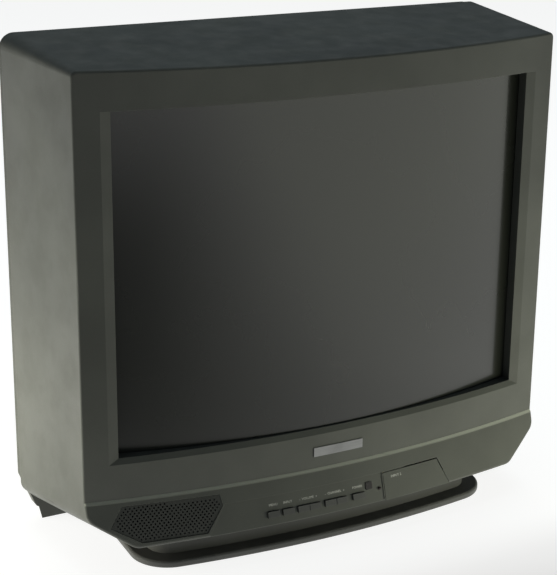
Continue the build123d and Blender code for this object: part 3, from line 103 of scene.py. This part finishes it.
# Studio: name, place, aim, width and height, watts and tint of each lamp.
LIGHTS = [
    ("front low", (0.38, -0.54, 0.02), (0.17, -0.24, 0.05), (0.4, 0.08), 3.3, (1.0, 0.98, 0.82)),
    ("left low", (-0.62, 0.05, 0.03), (-0.25, -0.08, 0.06), (0.6, 0.1), 8.5, (1.0, 0.96, 0.86)),
    ("overhead", (0.2, 0.6, 2.6), (0.0, 0.2, 0.0), (2.4, 1.6), 34.0, (0.86, 0.95, 1.0)),
]
WORLD_COLOUR = (0.78, 0.92, 1.1, 1.0)
WORLD_STRENGTH = 0.13
FILM_WIDTH_MM = 36
CAMERA_REACH = 100


class Signal:
    """A number inside a material; arithmetic on it adds Math nodes."""

    def __init__(self, finish, socket):
        self.finish = finish
        self.socket = socket

    def maths(self, operation, *values):
        sockets = dict(enumerate(values))
        return self.finish.node("ShaderNodeMath", {"operation": operation}, sockets)

    def __add__(self, other):
        return self.maths("ADD", self, other)

    def __radd__(self, other):
        return self.maths("ADD", other, self)

    def __sub__(self, other):
        return self.maths("SUBTRACT", self, other)

    def __rsub__(self, other):
        return self.maths("SUBTRACT", other, self)

    def __mul__(self, other):
        return self.maths("MULTIPLY", self, other)

    def __rmul__(self, other):
        return self.maths("MULTIPLY", other, self)

    def __truediv__(self, other):
        return self.maths("DIVIDE", self, other)

    def __gt__(self, other):
        return self.maths("GREATER_THAN", self, other)

    def __lt__(self, other):
        return self.maths("LESS_THAN", self, other)

    def __pow__(self, other):
        return self.maths("POWER", self, other)

    def __mod__(self, other):
        return self.maths("FLOORED_MODULO", self, other)

    def __abs__(self):
        return self.maths("ABSOLUTE", self)

    def clamped(self):
        return self.finish.node("ShaderNodeClamp", {}, {"Value": self})

    def ramp(self, low, high):
        """0 below low and 1 above high, smooth between."""
        settings = {"interpolation_type": "SMOOTHSTEP"}
        sockets = {"Value": self, "From Min": low, "From Max": high}
        return self.finish.node("ShaderNodeMapRange", settings, sockets)


class Finish:
    """One material: a Principled shader, its constants and the nodes that vary it."""

    def __init__(self, name, **constants):
        self.material = bpy.data.materials.new(name)
        self.material.use_nodes = True
        self.tree = self.material.node_tree
        self.shader = self.tree.nodes["Principled BSDF"]
        for label, value in constants.items():
            self.shader.inputs[label.replace("_", " ")].default_value = value
        base = constants.get("Base_Color")
        if base:
            self.material.diffuse_color = base

    def node(self, kind, settings, sockets, out=0):
        """Add a node with its settings, then the values or links of its sockets."""
        made = self.tree.nodes.new(kind)
        for label, value in settings.items():
            setattr(made, label, value)
        for label, value in sockets.items():
            if isinstance(value, Signal):
                self.tree.links.new(value.socket, made.inputs[label])
            else:
                made.inputs[label].default_value = value
        return Signal(self, made.outputs[out])

    def feed(self, label, signal):
        self.tree.links.new(signal.socket, self.shader.inputs[label])

    def place(self):
        return self.node("ShaderNodeTexCoord", {}, {}, "Object")

    def facing(self, axis):
        normal = self.node("ShaderNodeNewGeometry", {}, {}, "Normal")
        return self.node("ShaderNodeSeparateXYZ", {}, {"Vector": normal}, axis)

    def along(self, axis):
        return self.node("ShaderNodeSeparateXYZ", {}, {"Vector": self.place()}, axis)

    def stretched(self, x, y, z):
        """The coordinates scaled by a different number along each axis."""
        return self.node("ShaderNodeMapping", {}, {"Vector": self.place(), "Scale": (x, y, z)})

    def noise(self, size, detail, vector=None):
        """Cloudy pattern from 0 to 1 with lumps of about `size` metres."""
        where = vector or self.place()
        sockets = {"Vector": where, "Scale": 1 / size, "Detail": detail, "Roughness": 0.55}
        return self.node("ShaderNodeTexNoise", {}, sockets, "Fac")

    def cells(self, size, feature="F1", out="Distance"):
        """Cells of about `size` metres: the distance to each one's middle, or its own colour."""
        sockets = {"Vector": self.place(), "Scale": 1 / size}
        return self.node("ShaderNodeTexVoronoi", {"feature": feature}, sockets, out)

    def mix(self, factor, first, second):
        settings = {"data_type": "RGBA", "blend_type": "MIX"}
        return self.node("ShaderNodeMix", settings, {"Factor": factor, 6: first, 7: second}, 2)

    def over(self, label, mask, colour):
        """Lay a colour over what already feeds a socket, where the mask is 1."""
        under = Signal(self, self.shader.inputs[label].links[0].from_socket)
        self.feed(label, self.mix(mask, under, colour))

    def rounded(self, radius):
        """Normal that rolls over sharp edges as a moulded edge does."""
        return self.node("ShaderNodeBevel", {"samples": 4}, {"Radius": radius})

    def edges(self, radius):
        """1 along convex and concave edges, 0 on flat stretches."""
        flat = self.node("ShaderNodeNewGeometry", {}, {}, "Normal")
        rolled = self.rounded(radius)
        settings = {"operation": "DOT_PRODUCT"}
        agree = self.node("ShaderNodeVectorMath", settings, {0: flat, 1: rolled}, "Value")
        return (1 - agree).ramp(0.02, 0.35)

    def bump(self, height, distance, radius=0.0):
        """Relief of the given depth, on edges rolled over by the radius."""
        sockets = {"Height": height, "Distance": distance, "Strength": 1.0}
        if radius:
            sockets["Normal"] = self.rounded(radius)
        self.feed("Normal", self.node("ShaderNodeBump", {}, sockets))

    def on(self, *names):
        """Put the finish on the named nodes."""
        for name in names:
            mesh = NODES[name].data
            mesh.materials.clear()
            mesh.materials.append(self.material)
        return self


def linear(level):
    """One 0-255 screen level as linear light."""
    share = level / 255
    return ((share + 0.055) / 1.055) ** 2.4 if level > 10 else share / 12.92


def tone(red, green, blue):
    """Colour from 0-255 screen levels, as the renderer wants it."""
    return (linear(red), linear(green), linear(blue), 1.0)


def shaded(colour, factor):
    """The colour made darker or lighter."""
    return tuple(min(1.0, c * factor) for c in colour[:3]) + (1.0,)


def moulded(name, colour, roughness, grain, depth, dust=0.0, edge=0.5 * MM):
    """Injection-moulded plastic: pebbled grain, cloudy colour, edges polished, worn and painted
    lighter as a highlight, and settled dust.
    """
    finish = Finish(name, Base_Color=colour, Roughness=roughness, IOR=1.46)
    clouds = finish.noise(0.09, 4.0)
    specks = finish.noise(0.0011, 2.0)
    worn = finish.edges(1.2 * MM)
    mottled = finish.mix(clouds.ramp(0.3, 0.75), shaded(colour, 0.9), shaded(colour, 1.12))
    speckled = finish.mix(specks.ramp(0.55, 0.8) * 0.35, mottled, shaded(colour, 1.5))
    # Edges, convex and concave alike, are made 1.7 times lighter in colour: partly rubbed wear,
    # partly a painted highlight.
    edge_wear_and_highlight = finish.mix(worn * 0.35, speckled, shaded(colour, 1.7))
    if dust:
        upward = finish.facing("Z").ramp(0.5, 0.95)
        lying = upward * finish.noise(0.02, 6.0).ramp(0.35, 0.8) * dust
        edge_wear_and_highlight = finish.mix(lying, edge_wear_and_highlight, tone(150, 146, 138))
    finish.feed("Base Color", edge_wear_and_highlight)
    pebble = finish.cells(grain, "SMOOTH_F1") + finish.noise(grain * 0.45, 2.0) * 0.5
    polish = finish.noise(0.035, 5.0).ramp(0.35, 0.7)
    finish.feed("Roughness", roughness - 0.05 + polish * 0.09 - worn * 0.1)
    finish.bump(pebble, depth, edge)
    return finish


def metal(name, colour, roughness, brushing):
    """Bare or plated metal; `brushing` stretches its fine lines along each axis."""
    finish = Finish(name, Base_Color=colour, Metallic=1.0, Roughness=roughness)
    lines = finish.noise(0.6 * MM, 3.0, vector=finish.stretched(*brushing))
    stains = finish.noise(0.03, 4.0).ramp(0.45, 0.8)
    streaked = finish.mix(lines, shaded(colour, 0.8), shaded(colour, 1.15))
    finish.feed("Base Color", finish.mix(stains * 0.4, streaked, shaded(colour, 0.6)))
    finish.feed("Roughness", roughness - 0.06 + lines * 0.12 + stains * 0.12)
    finish.bump(lines, 0.02 * MM, 0.25 * MM)
    return finish


def phono_row(name, places, height, radius):
    """Row of phono sockets: plated shells round a yellow, a white and a red insert."""
    finish = Finish(name, Base_Color=tone(40, 40, 40), Roughness=0.4)
    x, z = finish.along("X") / MM, finish.along("Z") / MM - height
    yellow, white, red = tone(196, 160, 30), tone(204, 202, 194), tone(150, 26, 22)
    colour = tone(34, 34, 34)
    plated = 0
    for place, insert in zip(places, (yellow, white, red)):
        off = x - place
        reach = (off * off + z * z) ** 0.5
        colour = finish.mix(reach < radius, colour, tone(186, 182, 168))
        colour = finish.mix(reach < radius - SHELL_WALL, colour, insert)
        plated = (reach < radius) - (reach < radius - SHELL_WALL) + plated
    finish.feed("Base Color", colour)
    finish.feed("Metallic", plated.clamped())
    finish.feed("Roughness", 0.3 + finish.noise(0.002, 3.0) * 0.15)
    finish.bump(finish.noise(0.4 * MM, 2.0), 0.02 * MM, 0.2 * MM)
    return finish


def circuit(name, first, second):
    """Brown laminate with tinned tracks that follow the two named axes."""
    finish = Finish(name, Base_Color=tone(122, 84, 44), Roughness=0.45)
    grain = finish.noise(0.002, 4.0)
    wander = 4 * MM
    narrow, wide = TRACK_PITCH
    across = (finish.along(first) + finish.noise(0.02, 1.0) * wander) / narrow % 1.0
    along = (finish.along(second) + finish.noise(0.03, 1.0) * wander) / wide % 1.0
    tracks = (abs(across - 0.5).ramp(0.36, 0.4) + abs(along - 0.5).ramp(0.4, 0.44)).clamped()
    pads = (finish.cells(PAD_PITCH) < 0.16) * 1.0
    laminate = finish.mix(grain, tone(108, 74, 38), tone(140, 98, 54))
    masked = finish.mix(tracks * 0.7, laminate, tone(70, 84, 44))
    finish.feed("Base Color", finish.mix(pads, masked, tone(184, 182, 172)))
    finish.feed("Metallic", pads)
    finish.feed("Roughness", 0.48 - pads * 0.15)
    finish.bump(tracks + pads, 0.06 * MM)
    return finish


class TelevisionFinishes(bpy.types.PropertyGroup):
    """Colours and textures of the set's own surfaces."""

    cabinet_colour: bpy.props.FloatVectorProperty(
        name="Cabinet colour", description="Front moulding and rear cover", subtype="COLOR", size=4,
        default=tone(65, 67, 61), min=0, max=1)
    plinth_colour: bpy.props.FloatVectorProperty(
        name="Plinth colour", description="Base with its rounded lip", subtype="COLOR", size=4,
        default=tone(60, 61, 58), min=0, max=1)
    key_colour: bpy.props.FloatVectorProperty(
        name="Key colour", description="Key caps and rockers", subtype="COLOR", size=4,
        default=tone(62, 63, 60), min=0, max=1)
    glass_colour: bpy.props.FloatVectorProperty(
        name="Screen colour", description="Unlit phosphor seen through the tinted glass",
        subtype="COLOR", size=4, default=tone(25, 27, 22), min=0, max=1)
    lettering_colour: bpy.props.FloatVectorProperty(
        name="Lettering colour", description="Printed words over the keys", subtype="COLOR", size=4,
        default=tone(170, 172, 165), min=0, max=1)
    grain: bpy.props.FloatProperty(
        name="Grain", description="Size of the pebbled grain in the mouldings", default=0.7 * MM,
        min=0.1 * MM, max=5 * MM, unit="LENGTH")


class TelevisionStudio(bpy.types.PropertyGroup):
    """Camera, lights and floor."""

    camera_place: bpy.props.FloatVectorProperty(
        name="Camera place", description="Where the camera stands", subtype="XYZ",
        unit="LENGTH", size=3, default=(-0.6904, -1.39204, 0.6924))
    camera_yaw: bpy.props.FloatProperty(
        name="Camera yaw", description="Turn of the view from straight ahead, to the right",
        unit="ROTATION", default=math.radians(28.224))
    camera_pitch: bpy.props.FloatProperty(
        name="Camera pitch", description="Tilt of the view below the horizon", unit="ROTATION",
        default=math.radians(18.101))
    camera_roll: bpy.props.FloatProperty(
        name="Camera roll", description="Turn of the view about its own axis", unit="ROTATION",
        default=math.radians(0.569))
    lens: bpy.props.FloatProperty(
        name="Lens", description="Focal length on a 36 mm wide film", default=102.24,
        min=10, max=300)
    floor_size: bpy.props.FloatProperty(
        name="Floor", description="Side of the square floor", default=40.0, min=2, unit="LENGTH")
    # The floor colour feeds a glowing floor with painted light and shade on it, not a plain one.
    floor_colour: bpy.props.FloatVectorProperty(
        name="Floor colour", description="Plain pale floor", subtype="COLOR", size=4,
        default=tone(244, 244, 243), min=0, max=1)


def finishes():
    """The chosen colours and grain."""
    return bpy.context.scene.television_finishes


class FinishMouldings(bpy.types.Operator):
    """Grained grey plastic of the front moulding, cover and plinth, with a painted highlight on the
    front's crease bead.
    """

    bl_idname = "television.mouldings"
    bl_label = "Mouldings"

    def execute(self, context):
        chosen = finishes()
        colour = tuple(chosen.cabinet_colour)
        front = moulded("cabinet plastic", colour, 0.5, chosen.grain, 0.05 * MM, dust=0.1)
        low, high = BEAD
        bead = (front.along("Z") > low) * (front.along("Z") < high)
        bead = bead * (front.along("Y") < BEAD_BACK_Y)
        upward = front.facing("Z").ramp(0.05, 0.6)
        # Painted highlight: the upward face of the crease bead under the screen is made 4.2 times
        # lighter in colour.
        painted_bead_highlight = bead * upward * (abs(front.along("X")) < BEAD_HALF_WIDTH)
        front.over("Base Color", painted_bead_highlight, shaded(colour, 4.2))
        front.on("front_cabinet", "jack_door")
        cover = moulded(
            "cover plastic", shaded(colour, 0.95), 0.62, chosen.grain * 1.8, 0.16 * MM, dust=0.16)
        cover.on("rear_cover")
        plinth = moulded(
            "plinth plastic", tuple(chosen.plinth_colour), 0.5, chosen.grain, 0.05 * MM, dust=0.1)
        plinth.on("base_plinth", "jack_plate")
        moulded("pad rubber", tone(34, 34, 33), 0.8, 0.5 * MM, 0.04 * MM).on("rubber_pads")
        return {"FINISHED"}


class FinishControls(bpy.types.Operator):
    """Keys, rockers, sensor window, lamp, badge, speaker grille and the sockets behind the door."""

    bl_idname = "television.controls"
    bl_label = "Controls"

    def execute(self, context):
        chosen = finishes()
        key = moulded(
            "key plastic", tuple(chosen.key_colour), 0.42, chosen.grain * 0.6, 0.02 * MM,
            edge=0.35 * MM)
        key.on("menu_key", "input_key", "power_key", "volume_rocker", "channel_rocker")
        grille = moulded(
            "grille plastic", shaded(tuple(chosen.cabinet_colour), 0.55), 0.55, chosen.grain,
            0.03 * MM, edge=0.2 * MM)
        grille.on("speaker_grille")
        window = Finish(
            "sensor window", Base_Color=tone(48, 46, 44), Roughness=0.16, Coat_Weight=0.4)
        window.feed("Roughness", 0.14 + window.noise(0.004, 3.0) * 0.1)
        window.on("sensor_window")
        lamp = Finish(
            "standby lamp", Base_Color=tone(40, 30, 28), Roughness=0.3, Coat_Weight=0.3)
        cloud = lamp.noise(1.2 * MM, 2.0)
        lamp.feed("Base Color", lamp.mix(cloud, tone(34, 27, 25), tone(46, 34, 30)))
        lamp.on("standby_lamp")
        metal("badge metal", tone(150, 151, 148), 0.3, (0.04, 1.0, 1.0)).on("badge")
        phono_row("front sockets", *FRONT_SOCKETS).on("front_jacks")
        phono_row("rear sockets", *REAR_SOCKETS).on("rear_jacks")
        return {"FINISHED"}


class FinishTube(bpy.types.Operator):
    """Picture tube: tinted face, blackened funnel, clear neck and the metal inside."""

    bl_idname = "television.tube"
    bl_label = "Picture tube"

    def execute(self, context):
        colour = tuple(finishes().glass_colour)
        face = Finish(
            "screen glass", Base_Color=colour, Roughness=0.3, IOR=1.5, Coat_Weight=0.5,
            Coat_Roughness=0.12)
        stripes = face.along("X") / PHOSPHOR_PITCH % 1.0
        dark = face.mix(abs(stripes - 0.5).ramp(0.3, 0.45) * 0.25, colour, shaded(colour, 0.7))
        film = face.noise(0.16, 4.0).ramp(0.3, 0.8)
        face.feed("Base Color", face.mix(film * 0.06, dark, shaded(colour, 1.4)))
        face.feed("Roughness", 0.26 + film * 0.04)
        face.on("tube_faceplate")

        coating = Finish("graphite coating", Roughness=0.75)
        brushed = coating.noise(0.004, 5.0, vector=coating.stretched(1.0, 0.15, 1.0))
        bare = coating.along("Y").ramp(*COATING_EDGE)
        painted = coating.mix(brushed, tone(24, 24, 25), tone(44, 44, 46))
        coating.feed("Base Color", coating.mix(bare, painted, tone(74, 82, 78)))
        coating.feed("Roughness", 0.7 + brushed * 0.15 - bare * 0.55)
        coating.bump(brushed, 0.12 * MM)
        coating.on("tube_funnel")

        neck = Finish(
            "clear glass", Base_Color=tone(214, 224, 220), Roughness=0.05, IOR=1.5,
            Transmission_Weight=0.9)
        smoked = neck.along("Y").ramp(*SMOKED_NECK)
        neck.feed("Base Color", neck.mix(smoked, tone(46, 48, 48), tone(220, 230, 226)))
        neck.feed("Roughness", 0.04 + neck.noise(0.01, 3.0) * 0.05)
        neck.on("tube_neck")

        metal("gun steel", tone(176, 176, 172), 0.3, (1.0, 0.1, 1.0)).on("electron_gun")
        metal("zinc plated steel", tone(158, 158, 150), 0.38, (1.0, 1.0, 0.05)).on(
            "shrink_band", "tube_screws", "tuner", "speaker_frame")
        metal("blackened steel", tone(58, 57, 55), 0.5, (1.0, 1.0, 0.2)).on(
            "inner_shield", "grille_frame", "aperture_grille")
        moulded("anode cap rubber", tone(40, 30, 28), 0.6, 0.9 * MM, 0.03 * MM).on("anode_cap")
        moulded("anode lead sleeve", tone(112, 30, 24), 0.4, 2.0 * MM, 0.02 * MM).on("anode_lead")
        moulded("brown phenolic", tone(60, 42, 32), 0.4, 0.8 * MM, 0.02 * MM).on(
            "tube_base", "tube_socket")

        wrapped = Finish("taped coil", Base_Color=tone(34, 33, 32), Roughness=0.5)
        round_face = abs(wrapped.along("X")) + abs(wrapped.along("Z"))
        turns = (round_face + wrapped.along("Y") * 0.5) / TAPE_PITCH % 1.0
        seam = turns.ramp(0.0, 0.12)
        wrapped.feed("Base Color", wrapped.mix(seam, tone(20, 20, 20), tone(46, 45, 43)))
        wrapped.feed("Roughness", 0.42 + wrapped.noise(0.01, 4.0) * 0.2)
        wrapped.bump(seam + turns * 0.4, 0.3 * MM)
        wrapped.on("degauss_coil")

        braid = Finish("tinned braid", Base_Color=tone(150, 140, 122), Metallic=1.0, Roughness=0.45)
        rise = (braid.along("X") + braid.along("Z")) / BRAID_PITCH % 1.0
        fall = (braid.along("X") - braid.along("Z")) / BRAID_PITCH % 1.0
        weave = abs(rise - 0.5) + abs(fall - 0.5)
        bright = weave.ramp(0.2, 0.8)
        braid.feed("Base Color", braid.mix(bright, tone(104, 94, 78), tone(186, 176, 158)))
        braid.bump(weave, 0.2 * MM)
        braid.on("ground_braid")
        return {"FINISHED"}


class FinishYoke(bpy.types.Operator):
    """Deflection yoke on the tube's neck: former, windings, ferrite core and magnet rings."""

    bl_idname = "television.yoke"
    bl_label = "Deflection yoke"

    def execute(self, context):
        former = moulded("former plastic", tone(196, 192, 178), 0.5, 0.8 * MM, 0.02 * MM, dust=0.2)
        former.on("yoke_former", "ring_sleeve")

        winding = Finish(
            "enamelled copper", Base_Color=tone(150, 78, 40), Metallic=0.85, Roughness=0.32)
        x, z = winding.along("X"), winding.along("Z") - TUBE_AXIS_Z
        reach = (x * x + z * z) ** 0.5
        turn = reach / WIRE_PITCH % 1.0
        wires = abs(turn - 0.5).ramp(0.08, 0.5)
        varnish = winding.noise(0.02, 4.0).ramp(0.3, 0.7)
        copper = winding.mix(varnish, tone(168, 84, 42), tone(122, 56, 30))
        winding.feed("Base Color", winding.mix(wires, copper, tone(52, 24, 14)))
        winding.feed("Roughness", 0.26 + varnish * 0.14)
        winding.bump(1 - wires, 0.25 * MM)
        winding.on("yoke_coils")

        ferrite = moulded("ferrite", tone(50, 50, 52), 0.7, 1.6 * MM, 0.06 * MM)
        ferrite.on("yoke_core", "speaker_magnet")

        rings = moulded("ring plastic", tone(180, 178, 170), 0.45, 0.8 * MM, 0.02 * MM)
        layer = rings.along("Y") / RING_PITCH % 1.0
        rings.feed("Base Color", rings.mix(layer > 0.5, tone(60, 58, 56), tone(204, 202, 192)))
        rings.on("convergence_rings")
        return {"FINISHED"}


class FinishChassis(bpy.types.Operator):
    """Circuit boards and what is soldered to them, and the sockets at the back."""

    bl_idname = "television.chassis"
    bl_label = "Chassis"

    def execute(self, context):
        circuit("main board laminate", "X", "Y").on("main_board")
        circuit("upright board laminate", "X", "Z").on("neck_board", "control_boards")
        moulded("post nylon", tone(176, 172, 160), 0.5, 0.9 * MM, 0.02 * MM).on("board_posts")
        metal("screw steel", tone(150, 146, 132), 0.34, (1.0, 1.0, 1.0)).on(
            "chassis_screws", "speaker_screws")
        metal("black screw steel", tone(52, 52, 52), 0.42, (1.0, 1.0, 1.0)).on("cover_screws")
        metal("sink aluminium", tone(186, 188, 190), 0.36, (1.0, 1.0, 0.06)).on("heat_sinks")
        moulded("epoxy package", tone(32, 32, 33), 0.46, 0.7 * MM, 0.02 * MM).on(
            "semiconductors", "key_switches")
        moulded("transformer resin", tone(36, 36, 40), 0.28, 2.4 * MM, 0.03 * MM).on(
            "flyback_transformer")
        moulded("inlet plastic", tone(30, 30, 30), 0.4, 0.8 * MM, 0.02 * MM).on("mains_inlet")
        moulded("knob nylon", tone(214, 210, 196), 0.45, 0.7 * MM, 0.02 * MM).on(
            "focus_knob", "screen_knob")

        bobbin = moulded("taped bobbin", tone(196, 158, 44), 0.4, 1.2 * MM, 0.02 * MM)
        middle = abs(bobbin.along("Y") - BOBBIN_Y).ramp(*BOBBIN_FLANGE)
        bobbin.feed("Base Color", bobbin.mix(middle, tone(50, 50, 52), tone(204, 166, 50)))
        bobbin.on("power_transformer")

        parts = moulded("mixed components", tone(96, 90, 70), 0.45, 0.9 * MM, 0.02 * MM)
        pick = parts.cells(COMPONENT_SIZE, "F1", "Color")
        parts.feed("Base Color", parts.mix(0.65, tone(120, 82, 46), pick))
        parts.on("neck_board_parts")

        can = Finish("capacitor sleeve", Base_Color=tone(30, 34, 60), Roughness=0.35)
        up = can.facing("Z").ramp(0.7, 0.95)
        band = can.facing("X").ramp(0.72, 0.76)
        sleeve = can.mix(band, tone(32, 36, 66), tone(172, 172, 164))
        can.feed("Base Color", can.mix(up, sleeve, tone(188, 189, 190)))
        can.feed("Metallic", up * 0.9)
        can.feed("Roughness", 0.3 + can.noise(0.003, 3.0) * 0.12)
        can.bump(can.noise(0.002, 2.0), 0.02 * MM, 0.4 * MM)
        can.on("capacitors")

        cone = Finish("speaker paper", Base_Color=tone(36, 36, 36), Roughness=0.85)
        fibre = cone.noise(0.0015, 4.0)
        cone.feed("Base Color", cone.mix(fibre, tone(26, 26, 26), tone(52, 51, 50)))
        cone.bump(fibre, 0.1 * MM)
        cone.on("speaker_cone")

        stud = metal("plated stud", tone(190, 186, 170), 0.25, (1.0, 1.0, 1.0))
        thread = abs(stud.along("Y") / THREAD_PITCH % 1.0 - 0.5)
        stud.bump(thread, 0.35 * MM, 0.1 * MM)
        stud.on("antenna_socket")
        return {"FINISHED"}


class BuildLettering(bpy.types.Operator):
    """Printed words over the keys and on the socket door, and the label on the back."""

    bl_idname = "television.lettering"
    bl_label = "Lettering"

    def execute(self, context):
        colour = tuple(finishes().lettering_colour)
        ink = Finish("lettering ink", Base_Color=colour, Roughness=0.5)
        worn = ink.noise(0.6 * MM, 3.0).ramp(0.25, 0.6)
        ink.feed("Base Color", ink.mix(worn, shaded(colour, 0.75), colour))
        for text, x, z, height, node, body in WORDS:
            self.word(context, ink, text, x, z, height, node, body)
        self.label(context)
        return {"FINISHED"}

    def word(self, context, ink, text, x, z, height, node, body):
        """One word laid on the surface of a node and riding its body."""
        curve = bpy.data.curves.new("word", "FONT")
        curve.body = text
        curve.size = height / CAPITAL_SHARE
        curve.align_x = "CENTER"
        curve.extrude = INK_DEPTH
        curve.resolution_u = 2
        typed = bpy.data.objects.new("word", curve)
        context.scene.collection.objects.link(typed)
        context.view_layer.update()
        graph = context.evaluated_depsgraph_get()
        mesh = bpy.data.meshes.new_from_object(typed.evaluated_get(graph))
        bpy.data.objects.remove(typed)
        spot, outward = surface_at(node, x, z)
        right = Vector((0, 0, 1)).cross(outward).normalized()
        up = outward.cross(right)
        name = "lettering_" + text.strip("-+ ").lower().replace(" ", "_")
        piece = bpy.data.objects.new(name, mesh)
        axes = Matrix((right, up, outward)).transposed().to_4x4()
        piece.matrix_world = Matrix.Translation(spot + outward * INK_LIFT) @ axes
        mesh.materials.clear()
        mesh.materials.append(ink.material)
        context.scene.collection.objects.link(piece)
        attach(piece, body)

    def label(self, context):
        """Blank foil label on the flat of the rear cover."""
        spot, outward = surface_at("rear_cover", LABEL_X, LABEL_Z, from_back=True)
        paper = Finish("foil label", Base_Color=tone(176, 177, 172), Metallic=0.4, Roughness=0.4)
        across, upward = paper.along("X"), paper.along("Z")
        line = (upward / LINE_PITCH % 1.0).ramp(0.66, 0.72)
        wide, tall = RULED_HALF
        ruled = line * (abs(across) < wide) * (abs(upward) < tall)
        paper.feed("Base Color", paper.mix(ruled * 0.7, tone(180, 181, 176), tone(70, 70, 68)))
        bpy.ops.mesh.primitive_cube_add(size=1.0)
        plate = context.object
        plate.name = "rating_label"
        plate.data.transform(Matrix.Diagonal((*LABEL_SIZE, 1.0)))
        plate.location = spot + outward * LABEL_LIFT
        plate.data.materials.append(paper.material)
        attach(plate, "cabinet")


def surface_at(node, x, z, from_back=False):
    """Point and outward direction of a piece's outermost surface at x and z."""
    mesh = NODES[node].data
    corners = [vertex.co for vertex in mesh.vertices]
    tree = BVHTree.FromPolygons(corners, [tuple(face.vertices) for face in mesh.polygons])
    start, heading = (1.0, -1.0) if from_back else (-1.0, 1.0)
    spot, outward, _, _ = tree.ray_cast(Vector((x, start, z)), Vector((0, heading, 0)))
    if spot is None:
        raise RuntimeError("nothing of " + node + " at that place")
    if outward.y * heading >= 0:
        outward = -outward
    return spot, outward.normalized()


class BuildStudio(bpy.types.Operator):
    """Bright floor with painted light and shade, soft lights and the camera."""

    bl_idname = "television.studio"
    bl_label = "Studio"

    def execute(self, context):
        studio = context.scene.television_studio
        half = studio.floor_size / 2
        mesh = bpy.data.meshes.new("floor")
        corners = [(-half, -half, 0), (half, -half, 0), (half, half, 0), (-half, half, 0)]
        mesh.from_pydata(corners, [], [(0, 1, 2, 3)])
        floor = bpy.data.objects.new("floor", mesh)
        mesh.materials.append(self.glow(tuple(studio.floor_colour)).material)
        context.scene.collection.objects.link(floor)
        for name, place, target, size, power, tint in LIGHTS:
            self.lamp(context, name, Vector(place), Vector(target), size, power, tint)
        world = bpy.data.worlds.new("studio")
        world.use_nodes = True
        background = world.node_tree.nodes["Background"]
        background.inputs["Color"].default_value = WORLD_COLOUR
        background.inputs["Strength"].default_value = WORLD_STRENGTH
        context.scene.world = world
        context.scene.view_settings.view_transform = "Standard"
        self.camera(context, studio)
        return {"FINISHED"}

    def glow(self, colour):
        """Table that glows with painted light, and is also lit by the lamps: white round the set, a
        painted dark patch to its front left, painted brightest light to its front right.
        """
        table = Finish(
            "lit table", Base_Color=shaded(colour, 0.3), Roughness=0.9, Emission_Strength=1.0)
        x, forward = table.along("X"), 0 - table.along("Y")
        # Painted light: the floor's glow is dimmed to a dark patch in front of and left of the set,
        # and made brighter in front of and right of it. The set's gloss and shading take up this
        # painted light and shade.
        ahead = forward.ramp(0.3, 0.5)
        near = 1 - forward.ramp(1.1, 2.8)
        left = 1 - x.ramp(-0.4, 0.5)
        dark = (ahead * near * left).clamped()
        right = (ahead * x.ramp(-0.1, 0.6) * forward.ramp(0.35, 1.1)).clamped()
        painted_glow = table.mix(right, shaded(colour, 0.95), (1.02, 1.04, 0.94, 1.0))
        # The floor's own colour turns near black just in front of the set, so the low front lamp
        # lights no hot spot there. The painted glow still covers that area.
        under = forward.ramp(0.26, 0.34)
        table.feed("Base Color", table.mix(under, shaded(colour, 0.3), tone(14, 14, 14)))
        table.feed("Emission Color", table.mix(dark * 0.93, painted_glow, tone(20, 20, 20)))
        return table

    def lamp(self, context, name, place, target, size, power, tint):
        """Soft rectangular lamp that neither the camera nor the gloss shows."""
        data = bpy.data.lights.new(name, "AREA")
        data.shape = "RECTANGLE"
        data.size, data.size_y = size
        data.energy = power
        data.color = tint
        lamp = bpy.data.objects.new(name, data)
        lamp.location = place
        lamp.rotation_euler = (target - place).to_track_quat("-Z", "Y").to_euler()
        lamp.visible_camera = False
        lamp.visible_glossy = False
        context.scene.collection.objects.link(lamp)

    def camera(self, context, studio):
        """The scene's camera, from its place and three angles."""
        yaw, pitch, roll = studio.camera_yaw, studio.camera_pitch, studio.camera_roll
        level_share = math.cos(pitch)
        ahead = Vector((math.sin(yaw) * level_share, math.cos(yaw) * level_share, -math.sin(pitch)))
        level = Vector((math.cos(yaw), -math.sin(yaw), 0))
        upright = level.cross(ahead)
        right = level * math.cos(roll) + upright * math.sin(roll)
        up = right.cross(ahead)
        data = bpy.data.cameras.new("camera")
        data.sensor_fit = "HORIZONTAL"
        data.sensor_width = FILM_WIDTH_MM
        data.lens = studio.lens
        data.clip_end = CAMERA_REACH
        camera = bpy.data.objects.new("camera", data)
        axes = Matrix((right, up, -ahead)).transposed().to_4x4()
        camera.matrix_world = Matrix.Translation(Vector(studio.camera_place)) @ axes
        context.scene.collection.objects.link(camera)
        context.scene.camera = camera


PIECES = [
    FinishMouldings, FinishControls, FinishTube, FinishYoke, FinishChassis, BuildLettering,
    BuildStudio,
]


class TelevisionPanel(bpy.types.Panel):
    """Lists the pieces that can be made again."""

    bl_idname = "VIEW3D_PT_television"
    bl_label = "Television"
    bl_space_type = "VIEW_3D"
    bl_region_type = "UI"
    bl_category = "Television"

    def draw(self, context):
        for piece in PIECES:
            self.layout.operator(piece.bl_idname)
        for group in (context.scene.television_finishes, context.scene.television_studio):
            for label in group.__annotations__:
                self.layout.prop(group, label)


CLASSES = [TelevisionFinishes, TelevisionStudio] + PIECES + [TelevisionPanel]


def register():
    for each in CLASSES:
        bpy.utils.register_class(each)
    bpy.types.Scene.television_finishes = bpy.props.PointerProperty(type=TelevisionFinishes)
    bpy.types.Scene.television_studio = bpy.props.PointerProperty(type=TelevisionStudio)


def unregister():
    del bpy.types.Scene.television_studio
    del bpy.types.Scene.television_finishes
    for each in reversed(CLASSES):
        bpy.utils.unregister_class(each)


def main():
    register()
    for piece in PIECES:
        group, name = piece.bl_idname.split(".")
        getattr(getattr(bpy.ops, group), name)()


if __name__ == "__main__":
    main()
